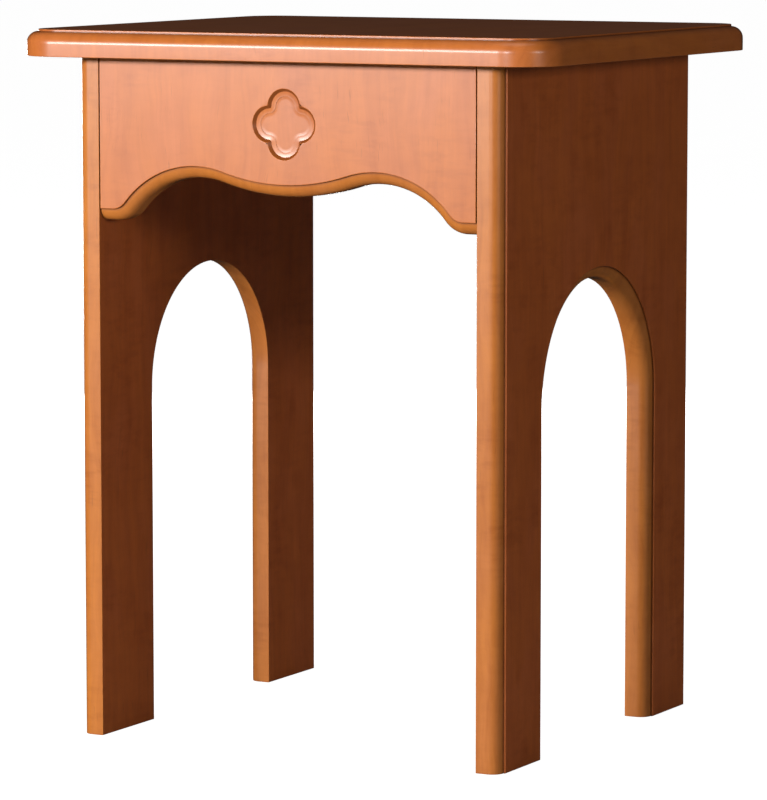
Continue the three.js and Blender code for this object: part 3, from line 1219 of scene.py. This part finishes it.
@dataclass
class Fixings:
    """Clear holes for the fittings that enter a board."""

    cams: tuple[str, ...] = ()
    bolts: tuple[str, ...] = ()
    threads: tuple[str, ...] = ()
    dowels: tuple[str, ...] = ()

    def cutters(self, cam: "Cam", bolt: "Bolt", dowel: "Dowel") -> list[bpy.types.Object]:
        """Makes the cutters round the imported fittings.

        Args:
            cam: sizes of a cam.
            bolt: sizes of a bolt.
            dowel: sizes of a dowel.

        Returns:
            One cutter for each hole.
        """
        made = []
        for node in self.cams:
            made.append(cam_hole(node, cam.radius + CLEARANCE))
        for node in self.bolts:
            made.append(fitting_hole(node, bolt.shank_radius + CLEARANCE))
        for node in self.threads:
            made.append(fitting_hole(node, bolt.thread_radius + CLEARANCE))
        for node in self.dowels:
            made.append(fitting_hole(node, dowel.radius + CLEARANCE))
        return made


def fitting_axis(node: str) -> Axis:
    """The way a packed bolt or dowel points, from its name."""
    if "_top_" in node:
        return Axis.UP
    return Axis.LEFT if node.endswith("left") else Axis.RIGHT


def fitting_hole(node: str, radius: float) -> bpy.types.Object:
    """Makes the cutter of a bolt or a dowel, a little longer than the fitting at both ends.

    Args:
        node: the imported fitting.
        radius: radius of the hole.

    Returns:
        The cutter.
    """
    low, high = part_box(node)
    axis = fitting_axis(node).value
    half = abs((high - low).dot(axis)) / 2 + CLEARANCE
    return round_bar(radius, -half, half, pointing(axis, (low + high) / 2))


def cam_facing(node: str) -> Vector:
    """The way a packed cam's driver slot faces, which is towards the middle of the bench.

    Args:
        node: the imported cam.

    Returns:
        A direction of length 1.
    """
    low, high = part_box(node)
    middle = (low + high) / 2
    if "_apron_" in node:
        return Vector((0, -math.copysign(1.0, middle.y), 0))
    return Vector((-math.copysign(1.0, middle.x), 0, 0))


def cam_hole(node: str, radius: float) -> bpy.types.Object:
    """Makes the cutter of a cam, open at the board's inner face.

    Args:
        node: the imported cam.
        radius: radius of the hole.

    Returns:
        The cutter.
    """
    low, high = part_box(node)
    facing = cam_facing(node)
    half = abs((high - low).dot(facing)) / 2
    return round_bar(radius, -half - CLEARANCE, half + RUN_OFF, pointing(facing, (low + high) / 2))


@dataclass
class TopBoard(Board):
    """The seat: a rectangle with round corners, moulded all round its upper edge."""

    moulding: Moulding
    corner_radius: float = 32 * MM
    corner_steps: int = 28
    node: str = "top_panel"
    seed: float = 3.1
    stretching: float = 0.1
    warmth: float = 0.42

    @property
    def place(self) -> Place:
        """Face up, with the grain from front to back.

        Returns:
            Where the board stands.
        """
        low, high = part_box(self.node)
        middle = (low + high) / 2
        origin = Vector((middle.x, middle.y, low.z))
        return Place(origin, Vector((1, 0, 0)), Vector((0, 1, 0)), Vector((0, 0, 1)))

    @property
    def thickness(self) -> float:
        """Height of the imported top."""
        low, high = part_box(self.node)
        return high.z - low.z

    def outline(self, inset: float, ease: float) -> list[Point]:
        """A rectangle with round corners, pulled in all round.

        Args:
            inset: how far it is pulled in.
            ease: not used, because the top has no plain edge.

        Returns:
            The points of the outline, anticlockwise.
        """
        low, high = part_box(self.node)
        half_width = (high.x - low.x) / 2 - self.corner_radius
        half_depth = (high.y - low.y) / 2 - self.corner_radius
        points = []
        for number, (side, end) in enumerate(((1, -1), (1, 1), (-1, 1), (-1, -1))):
            start = (number - 1) * math.pi / 2
            centre = (side * half_width, end * half_depth)
            radius = self.corner_radius - inset
            points += arc(centre, radius, start, start + math.pi / 2, self.corner_steps)
        return points

    def holes(self) -> list[bpy.types.Object]:
        """Holes for the bolts' threads and the upper ends of the dowels.

        Returns:
            The cutters.
        """
        places = [(side, end) for side in ("left", "right") for end in ("front", "rear")]
        fixings = Fixings(
            threads=tuple(f"{side}_top_bolt_{end}" for side, end in places),
            dowels=tuple(f"{side}_top_dowel_{end}" for side, end in places),
        )
        return fixings.cutters(Cam(), Bolt(), Dowel())


@dataclass
class SidePanel(Board):
    """An upright with a round-headed arch cut up from the floor, moulded on its outer face."""

    side: str
    moulding: Moulding
    arch_width: float = 163 * MM
    spring_height: float = 232 * MM
    arch_steps: int = 72
    seed: float = 7.7
    figure: float = 1.15

    @property
    def node(self) -> str:
        """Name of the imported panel."""
        return f"{self.side}_side_panel"

    @property
    def outward(self) -> Vector:
        """The way the moulded face looks."""
        return Vector((1, 0, 0)) if self.side == "right" else Vector((-1, 0, 0))

    @property
    def place(self) -> Place:
        """Upright, with its back towards the middle of the bench.

        Returns:
            Where the board stands.
        """
        low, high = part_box(self.node)
        inner = low.x if self.side == "right" else high.x
        across = Vector((0, 1, 0)) if self.side == "right" else Vector((0, -1, 0))
        return Place(Vector((inner, 0, low.z)), across, Vector((0, 0, 1)), self.outward)

    @property
    def thickness(self) -> float:
        """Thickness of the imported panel."""
        low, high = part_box(self.node)
        return high.x - low.x

    def outline(self, inset: float, ease: float) -> list[Point]:
        """Two legs and the arch between them. The floor and the top ends are plain.

        Args:
            inset: how far the moulded edges are pulled in.
            ease: how far the plain ends are pulled in.

        Returns:
            The points of the outline, anticlockwise.
        """
        low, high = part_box(self.node)
        bottom = ease
        top = high.z - low.z - ease
        outer = (high.y - low.y) / 2 - inset
        arch = self.arch_width / 2 + inset
        crown = arc((0.0, self.spring_height), arch, math.pi, 0.0, self.arch_steps)
        legs = [(-outer, bottom), (-arch, bottom), *crown, (arch, bottom), (outer, bottom)]
        return [*legs, (outer, top), (-outer, top)]

    def holes(self) -> list[bpy.types.Object]:
        """Holes for the fittings up into the top and in from the aprons.

        Returns:
            The cutters.
        """
        ends = ("front", "rear")
        fixings = Fixings(
            cams=tuple(f"{self.side}_top_cam_{end}" for end in ends),
            bolts=tuple(f"{self.side}_top_bolt_{end}" for end in ends),
            threads=tuple(f"{end}_apron_bolt_{self.side}" for end in ends),
            dowels=(
                *(f"{self.side}_top_dowel_{end}" for end in ends),
                *(f"{end}_apron_{row}_dowel_{self.side}" for end in ends for row in ("upper", "lower")),
            ),
        )
        return fixings.cutters(Cam(), Bolt(), Dowel())


@dataclass
class Apron(Board):
    """A rail between the side panels, with a scalloped lower edge and a carved quatrefoil."""

    end: str
    moulding: Moulding
    carving: Carving
    middle_rise: float = 20 * MM
    crest_rise: float = 30.5 * MM
    foot_land: float = 10 * MM
    foot_radius: float = 20 * MM
    crest_place: float = 0.515
    reveal: float = 0.35 * MM
    arc_steps: int = 22
    seed: float = 12.9
    stretching: float = 0.5
    warmth: float = 0.5

    @property
    def node(self) -> str:
        """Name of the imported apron."""
        return f"{self.end}_apron"

    @property
    def outward(self) -> Vector:
        """The way the carved face looks."""
        return Vector((0, -1, 0)) if self.end == "front" else Vector((0, 1, 0))

    @property
    def place(self) -> Place:
        """Upright, with its back towards the middle of the bench.

        Returns:
            Where the board stands.
        """
        low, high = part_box(self.node)
        back = high.y if self.end == "front" else low.y
        across = Vector((1, 0, 0)) if self.end == "front" else Vector((-1, 0, 0))
        return Place(Vector((0, back, low.z)), across, Vector((0, 0, 1)), self.outward)

    @property
    def thickness(self) -> float:
        """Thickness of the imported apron."""
        low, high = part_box(self.node)
        return high.y - low.y

    @property
    def half_length(self) -> float:
        """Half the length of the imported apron."""
        low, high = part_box(self.node)
        return (high.x - low.x) / 2

    @property
    def carving_height(self) -> float:
        """Height of the carving's middle above the apron's ends."""
        low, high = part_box(self.node)
        return (high.z - low.z + CLEARANCE + self.middle_rise) / 2 + self.carving.lift

    def scallop(self, inset: float) -> list[Point]:
        """Draws the lower edge from left to right: foot, crest, middle drop, crest, foot.

        Args:
            inset: how far the edge is pulled up.

        Returns:
            The points along the edge.
        """
        foot_x = self.half_length - self.foot_land
        crest_x = self.crest_place * foot_x
        crest_radius = meeting_radii(foot_x - crest_x, self.crest_rise) - self.foot_radius
        drop_radius = meeting_radii(crest_x, self.crest_rise - self.middle_rise) - crest_radius
        crest_z = self.crest_rise - crest_radius
        centres = [
            (-foot_x, self.foot_radius, self.foot_radius, 1),
            (-crest_x, crest_z, crest_radius, -1),
            (0.0, self.middle_rise + drop_radius, drop_radius, 1),
            (crest_x, crest_z, crest_radius, -1),
            (foot_x, self.foot_radius, self.foot_radius, 1),
        ]
        straight_down = -math.pi / 2
        joins = [
            math.atan2(after[1] - here[1], after[0] - here[0]) for here, after in zip(centres, centres[1:])
        ]
        points = []
        for number, (x, z, radius, bulge) in enumerate(centres):
            start = joins[number - 1] + math.pi if number > 0 else straight_down
            end = joins[number] if number < len(joins) else straight_down
            turn = math.remainder(end - start, 2 * math.pi)
            stretch = arc((x, z), radius - bulge * inset, start, start + turn, self.arc_steps)
            points += stretch[bool(number):]
        return points

    def outline(self, inset: float, ease: float) -> list[Point]:
        """The scalloped edge, with plain ends and a plain top edge.

        Args:
            inset: how far the moulded edge is pulled up.
            ease: how far the plain edges are pulled in.

        Returns:
            The points of the outline, anticlockwise.
        """
        low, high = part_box(self.node)
        end = self.half_length - self.reveal - ease
        top = high.z - low.z - ease
        return [(-end, inset), *self.scallop(inset), (end, inset), (end, top), (-end, top)]

    def close_face(self, skin: Skin, ring: list[bmesh.types.BMVert]) -> None:
        """Cuts the quatrefoil into the face and closes the field round it and inside it.

        Args:
            skin: the apron's skin.
            ring: the corners where the moulding meets the face.
        """
        levels = self.carving.rings(self.thickness)
        outlines = [self.carving.outline(level.inset, self.carving_height) for level in levels]
        rings = [skin.ring(outline, level) for outline, level in zip(outlines, levels)]
        for outer, inner, outer_spots, inner_spots in zip(rings, rings[1:], outlines, outlines[1:]):
            skin.strip(
                outer,
                inner,
                lambda corner, _side, spots=outer_spots: spots[corner],
                lambda corner, _side, spots=inner_spots: spots[corner],
            )
        skin.face(rings[-1], outlines[-1])
        rim = [vert for number, vert in enumerate(rings[0]) if is_new_spot(outlines[0], number)]
        bmesh.ops.remove_doubles(skin.mesh, verts=rings[0], dist=1e-7)
        skin.fill_between(ring, [vert for vert in rim if vert.is_valid])

    def holes(self) -> list[bpy.types.Object]:
        """Holes for the fittings that run out into the side panels.

        Returns:
            The cutters.
        """
        sides = ("left", "right")
        fixings = Fixings(
            cams=tuple(f"{self.end}_apron_cam_{side}" for side in sides),
            bolts=tuple(f"{self.end}_apron_bolt_{side}" for side in sides),
            dowels=tuple(
                f"{self.end}_apron_{row}_dowel_{side}" for side in sides for row in ("upper", "lower")
            ),
        )
        return fixings.cutters(Cam(), Bolt(), Dowel())


def is_new_spot(outline: Sequence[Point], number: int) -> bool:
    """Whether a point of a closed outline lies apart from the one before it."""
    here, before = outline[number], outline[number - 1]
    return math.dist(here, before) > 1e-7


def meeting_radii(run: float, rise: float) -> float:
    """The radius sum that lets two arcs that bend opposite ways meet without a corner."""
    return (run * run + rise * rise) / (2 * rise)


# ---------------------------------------------------------------- fittings


@dataclass(frozen=True)
class Cam:
    """A die-cast cam: a round housing, open towards the bolt, with a cross slot for the driver."""

    radius: float = 7.5 * MM
    chamfer: float = 0.4 * MM
    dish_radius: float = 6.1 * MM
    dish_depth: float = 0.5 * MM
    slot_width: float = 1.9 * MM
    slot_length: float = 9 * MM
    slot_depth: float = 2.4 * MM
    sides: int = 72

    def build(self, node: str, channel: float) -> bpy.types.Object:
        """Builds a cam in its packed place.

        Args:
            node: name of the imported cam.
            channel: radius of the bolt's channel.

        Returns:
            The cam's object.
        """
        low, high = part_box(node)
        facing = cam_facing(node)
        half = abs((high - low).dot(facing)) / 2
        spot = pointing(facing, (low + high) / 2)
        inner = self.dish_radius
        shape = [
            (self.radius - self.chamfer, -half),
            (self.radius, -half + self.chamfer),
            (self.radius, half - self.chamfer),
            (self.radius - self.chamfer, half),
            (inner + self.chamfer / 2, half),
            (inner, half - self.dish_depth),
        ]
        piece = object_from(profile_surface(shape, self.sides, spot), node + "_diecast")
        bolt = node.replace("cam", "bolt")
        axis = fitting_axis(bolt).value
        length = abs((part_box(bolt)[1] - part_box(bolt)[0]).dot(axis))
        cutters = [round_bar(channel, -length / 2, length / 2, pointing(axis, box_centre(bolt)))]
        for turn in (0.0, math.pi / 2):
            cutters.append(self.slot(spot @ Matrix.Rotation(turn, 4, "Z"), half))
        cut(piece, cutters)
        soften(piece)
        return piece

    def slot(self, spot: Matrix, half: float) -> bpy.types.Object:
        """Makes the cutter of one arm of the cross slot, narrower at its floor.

        Args:
            spot: places the arm, whose length runs along X.
            half: half of the cam's height.

        Returns:
            The cutter.
        """
        mesh = bmesh.new()
        rings = []
        for height, share in ((half - self.slot_depth, 0.62), (half + self.slot_depth, 1.3)):
            x = self.slot_length / 2 * share
            y = self.slot_width / 2 * share
            corners = ((-x, -y), (x, -y), (x, y), (-x, y))
            rings.append([mesh.verts.new(spot @ Vector((a, b, height))) for a, b in corners])
        for side in range(4):
            after = (side + 1) % 4
            mesh.faces.new((rings[0][side], rings[0][after], rings[1][after], rings[1][side]))
        mesh.faces.new(rings[0][::-1])
        mesh.faces.new(rings[1])
        return object_from(mesh, "cutter")


def profile_surface(shape: Sequence[Point], sides: int, spot: Matrix) -> bmesh.types.BMesh:
    """Builds a turned solid from a profile.

    Args:
        shape: radius and height of each ring, from the lower end to the upper end.
        sides: number of sides.
        spot: places the solid, which is drawn along Z.

    Returns:
        The mesh.
    """
    mesh = bmesh.new()
    rings = []
    for radius, height in shape:
        turns = [2 * math.pi * side / sides for side in range(sides)]
        corners = [Vector((radius * math.cos(turn), radius * math.sin(turn), height)) for turn in turns]
        rings.append([mesh.verts.new(spot @ corner) for corner in corners])
    for low, high in zip(rings, rings[1:]):
        for side in range(sides):
            after = (side + 1) % sides
            mesh.faces.new((low[side], low[after], high[after], high[side]))
    mesh.faces.new(rings[0][::-1])
    mesh.faces.new(rings[-1])
    return mesh


@dataclass(frozen=True)
class Bolt:
    """The bolt that a cam grips: threaded into the mate, with a shank and a necked head."""

    thread_radius: float = 2.9 * MM
    thread_length: float = 11 * MM
    thread_pitch: float = 1.8 * MM
    thread_depth: float = 0.55 * MM
    shank_radius: float = 3.4 * MM
    neck_radius: float = 2 * MM
    neck_length: float = 5 * MM
    head_length: float = 3 * MM
    chamfer: float = 0.35 * MM
    sides: int = 36

    def build(self, node: str) -> bpy.types.Object:
        """Builds a bolt in its packed place.

        Args:
            node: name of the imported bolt.

        Returns:
            The bolt's object.
        """
        low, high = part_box(node)
        axis = fitting_axis(node).value
        half = abs((high - low).dot(axis)) / 2
        spot = pointing(axis, (low + high) / 2)
        neck_start = -half + self.head_length
        neck_end = neck_start + self.neck_length
        shank_end = half - self.thread_length
        step = self.chamfer
        plain = [
            (self.shank_radius - step, -half),
            (self.shank_radius, -half + step),
            (self.shank_radius, neck_start - step),
            (self.neck_radius, neck_start),
            (self.neck_radius, neck_end),
            (self.shank_radius, neck_end + step),
            (self.shank_radius, shank_end - step),
            (self.thread_radius, shank_end),
        ]
        radii = {height: radius for radius, height in plain}
        turns = int(self.thread_length / self.thread_pitch * 6)
        thread = [shank_end + self.thread_length * (k + 1) / turns for k in range(turns)]

        def radius_at(level: float, side: int) -> float:
            """Radius of the bolt, which on the thread follows a single helix.

            Args:
                level: height along the bolt.
                side: number of the side.

            Returns:
                The radius there.
            """
            if level in radii:
                return radii[level]
            phase = (level / self.thread_pitch - side / self.sides) % 1.0
            ridge = max(0.0, 1.0 - abs(phase - 0.5) * 4)
            taper = min(1.0, (half - level) / self.thread_pitch)
            core = self.thread_radius - self.thread_depth
            return core - 0.5 * self.thread_depth * (1 - taper) + self.thread_depth * ridge * taper

        levels = [height for _, height in plain] + thread
        piece = object_from(turned_surface(radius_at, levels, self.sides, spot), node + "_steel")
        soften(piece, 50.0)
        return piece


@dataclass(frozen=True)
class Dowel:
    """A fluted beech dowel with chamfered ends."""

    radius: float = 4 * MM
    chamfer: float = 1 * MM
    flute_depth: float = 0.3 * MM
    flutes: int = 14
    sides_per_flute: int = 4

    def build(self, node: str) -> bpy.types.Object:
        """Builds a dowel in its packed place.

        Args:
            node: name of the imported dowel.

        Returns:
            The dowel's object.
        """
        low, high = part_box(node)
        axis = fitting_axis(node).value
        half = abs((high - low).dot(axis)) / 2
        end = half - self.chamfer
        levels = (-half, -end, 0.0, end, half)

        def radius_at(level: float, side: int) -> float:
            """Radius of the dowel, with its flutes."""
            outer = self.radius - (self.chamfer if abs(level) > end else 0.0)
            share = 0.5 - 0.5 * math.cos(2 * math.pi * side / self.sides_per_flute)
            return outer - self.flute_depth * (1 - share)

        sides = self.flutes * self.sides_per_flute
        spot = pointing(axis, (low + high) / 2)
        piece = object_from(turned_surface(radius_at, levels, sides, spot), node + "_beech")
        soften(piece)
        return piece


# ---------------------------------------------------------------- studio


@dataclass(frozen=True)
class Softbox:
    """A square studio light, aimed at the bench.

    Args:
        azimuth: degrees round from the front, positive to the right.
        elevation: degrees above the level of the target.
        distance: metres from the target.
        width: metres from side to side.
        height: metres from top to bottom.
        power: watts.
    """

    name: str
    azimuth: float
    elevation: float
    distance: float
    width: float
    height: float
    power: float
    colour: tuple[float, float, float] = (1.0, 1.0, 1.0)

    def build(self, target: Vector) -> bpy.types.Object:
        """Makes the light, which the camera doesn't see.

        Args:
            target: the point that the light is aimed at.

        Returns:
            The light's object.
        """
        data = bpy.data.lights.new(self.name, "AREA")
        data.shape = "RECTANGLE"
        data.size = self.width
        data.size_y = self.height
        data.energy = self.power
        data.color = self.colour
        made = bpy.data.objects.new(self.name, data)
        made.visible_camera = False
        towards = heading(self.azimuth, self.elevation)
        made.location = target + towards * self.distance
        made.rotation_euler = (-towards).to_track_quat("-Z", "Y").to_euler()
        bpy.context.scene.collection.objects.link(made)
        return made


def heading(azimuth: float, elevation: float) -> Vector:
    """Direction from the bench out to a point at an azimuth and an elevation, in degrees."""
    turn, rise = math.radians(azimuth), math.radians(elevation)
    return Vector((math.sin(turn) * math.cos(rise), -math.cos(turn) * math.cos(rise), math.sin(rise)))


@dataclass(frozen=True)
class Studio:
    """A pale floor, softboxes low in front, and a long lens from the front right."""

    camera_azimuth: float = 27.82
    camera_elevation: float = 6.61
    camera_distance: float = 3.1845
    lens: float = 207.5
    aim_left: float = 4.4 * MM
    aim_height: float = 222.5 * MM
    floor_size: float = 60.0
    floor_glow: float = 0.985
    floor_shade: float = 0.42
    room_glow: float = 0.985
    room_light: float = 0.02
    room_shade: float = 0.75

    def build_camera(self) -> bpy.types.Object:
        """Makes the camera and gives it to the scene.

        Returns:
            The camera's object.
        """
        turn = math.radians(self.camera_azimuth)
        to_right = Vector((math.cos(turn), math.sin(turn), 0.0))
        target = Vector((0, 0, self.aim_height)) - to_right * self.aim_left
        back = heading(self.camera_azimuth, self.camera_elevation)
        data = bpy.data.cameras.new("camera")
        data.lens = self.lens
        data.sensor_width = 36.0
        data.clip_start = 0.1
        data.clip_end = 200.0
        made = bpy.data.objects.new("camera", data)
        made.location = target + back * self.camera_distance
        made.rotation_euler = (-back).to_track_quat("-Z", "Y").to_euler()
        bpy.context.scene.collection.objects.link(made)
        bpy.context.scene.camera = made
        return made

    def build_floor(self) -> bpy.types.Object:
        """Makes the floor, white to the camera and dim to other rays, so that shade stays deep.

        Returns:
            The floor's object.
        """
        mesh = bmesh.new()
        bmesh.ops.create_grid(mesh, x_segments=1, y_segments=1, size=self.floor_size)
        floor = object_from(mesh, "floor")
        floor.location.z = -0.1 * MM
        material, tree, shader = bare_material("pale_floor")
        shader.inputs["Base Color"].default_value = opaque((self.floor_shade,) * 3)
        shader.inputs["Roughness"].default_value = 0.9
        shader.inputs["Specular IOR Level"].default_value = 0.0
        shader.inputs["Emission Color"].default_value = opaque((1.0, 1.0, 1.0))
        path = tree.nodes.new("ShaderNodeLightPath")
        glow = {0: path.outputs["Is Camera Ray"], 1: self.floor_glow}
        seen = add_node(tree, "ShaderNodeMath", glow, operation="MULTIPLY")
        tree.links.new(seen.outputs[0], shader.inputs["Emission Strength"])
        behind = tree.nodes.new("ShaderNodeNewGeometry").outputs["Backfacing"]
        clear = add_node(tree, "ShaderNodeMath", {0: 1.0, 1: behind}, operation="SUBTRACT")
        tree.links.new(clear.outputs[0], shader.inputs["Alpha"])
        floor.data.materials.append(material)
        floor.visible_glossy = False
        return floor

    def build_room(self) -> None:
        """Makes the room: white behind the bench, and dark in its reflections."""
        world = bpy.data.worlds.new("room")
        world.use_nodes = True
        tree = world.node_tree
        tree.nodes.clear()
        white = {"Color": opaque((1.0, 1.0, 1.0)), "Strength": self.room_glow}
        seen = add_node(tree, "ShaderNodeBackground", white)
        path = tree.nodes.new("ShaderNodeLightPath")
        loss = -self.room_light * self.room_shade
        dimmed = {0: path.outputs["Is Diffuse Ray"], 1: loss, 2: self.room_light}
        strength = add_node(tree, "ShaderNodeMath", dimmed, operation="MULTIPLY_ADD")
        warm = {"Color": opaque((1.0, 0.96, 0.92)), "Strength": strength.outputs[0]}
        lit = add_node(tree, "ShaderNodeBackground", warm)
        choice = {0: path.outputs["Is Camera Ray"], 1: lit.outputs[0], 2: seen.outputs[0]}
        mix = add_node(tree, "ShaderNodeMixShader", choice)
        output = tree.nodes.new("ShaderNodeOutputWorld")
        tree.links.new(mix.outputs[0], output.inputs["Surface"])
        bpy.context.scene.world = world

    def build_lights(self) -> list[bpy.types.Object]:
        """Makes the lights.

        Returns:
            The lights' objects.
        """
        low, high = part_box("top_panel")
        target = Vector((0, low.y, high.z))
        boxes = [
            Softbox("key", -30.0, 9.0, 3.6, 0.62, 0.42, 104.0),
            Softbox("front_fill", 0.0, 9.0, 3.6, 0.4, 0.4, 52.0),
            Softbox("right_fill", 72.0, 9.0, 3.2, 1.0, 0.5, 16.5),
            Softbox("rear_low", 214.0, -6.0, 2.2, 1.2, 0.35, 32.0),
            Softbox("overhead", 0.0, 89.0, 2.2, 1.4, 1.4, 6.0),
        ]
        return [box.build(target) for box in boxes]

    def build(self) -> None:
        """Makes the whole studio and sets how its light becomes a picture."""
        self.build_camera()
        self.build_floor()
        self.build_room()
        self.build_lights()
        view = bpy.context.scene.view_settings
        view.view_transform = "Standard"
        view.look = "None"
        LOG.info("studio ready")


# ---------------------------------------------------------------- the bench


@dataclass
class Bench:
    """The whole bench: five boards, eight cam fittings and twelve dowels."""

    groups: Groups
    foil: WoodgrainFoil
    zinc: DiecastZinc
    beech: RawBeech

    def build_boards(self) -> None:
        """Builds the top, the sides and the aprons."""
        moulding = Moulding()
        carving = Carving()
        boards: list[Board] = [
            TopBoard(moulding),
            SidePanel("left", moulding, seed=7.7),
            SidePanel("right", moulding, seed=5.2),
            Apron("front", moulding, carving, seed=12.9),
            Apron("rear", moulding, carving, seed=21.4),
        ]
        for board in boards:
            piece = board.build()
            material = self.foil.material(board, self.groups)
            finish_piece(piece, board.node, material)

    def build_fittings(self) -> None:
        """Builds every cam, bolt and dowel that the frame holds."""
        metal = self.zinc.material(self.groups)
        woods = {axis: self.beech.material(self.groups, axis) for axis in Axis}
        bolt = Bolt()
        for node in sorted(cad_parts):
            if "_cam_" in node:
                piece = Cam().build(node, bolt.shank_radius + CLEARANCE)
                finish_piece(piece, node, metal)
            elif "_bolt_" in node:
                finish_piece(bolt.build(node), node, metal)
            elif "_dowel_" in node:
                wood = woods[fitting_axis(node)]
                finish_piece(Dowel().build(node), node, wood)


def plain(corners: Sequence[Vector]) -> list[list[float]]:
    """Corners as plain lists of numbers."""
    return [list(corner) for corner in corners]


def main() -> None:
    """Builds the studio and the bench."""
    logging.basicConfig(level=logging.INFO, format="%(name)s: %(message)s")
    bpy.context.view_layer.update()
    Studio().build()
    groups = Groups(WoodFigure(), EdgeWearAndShade(), Handling(), Lacquer())
    bench = Bench(groups, WoodgrainFoil(), DiecastZinc(), RawBeech())
    bench.build_boards()
    bench.build_fittings()


if __name__ == "__main__":
    main()
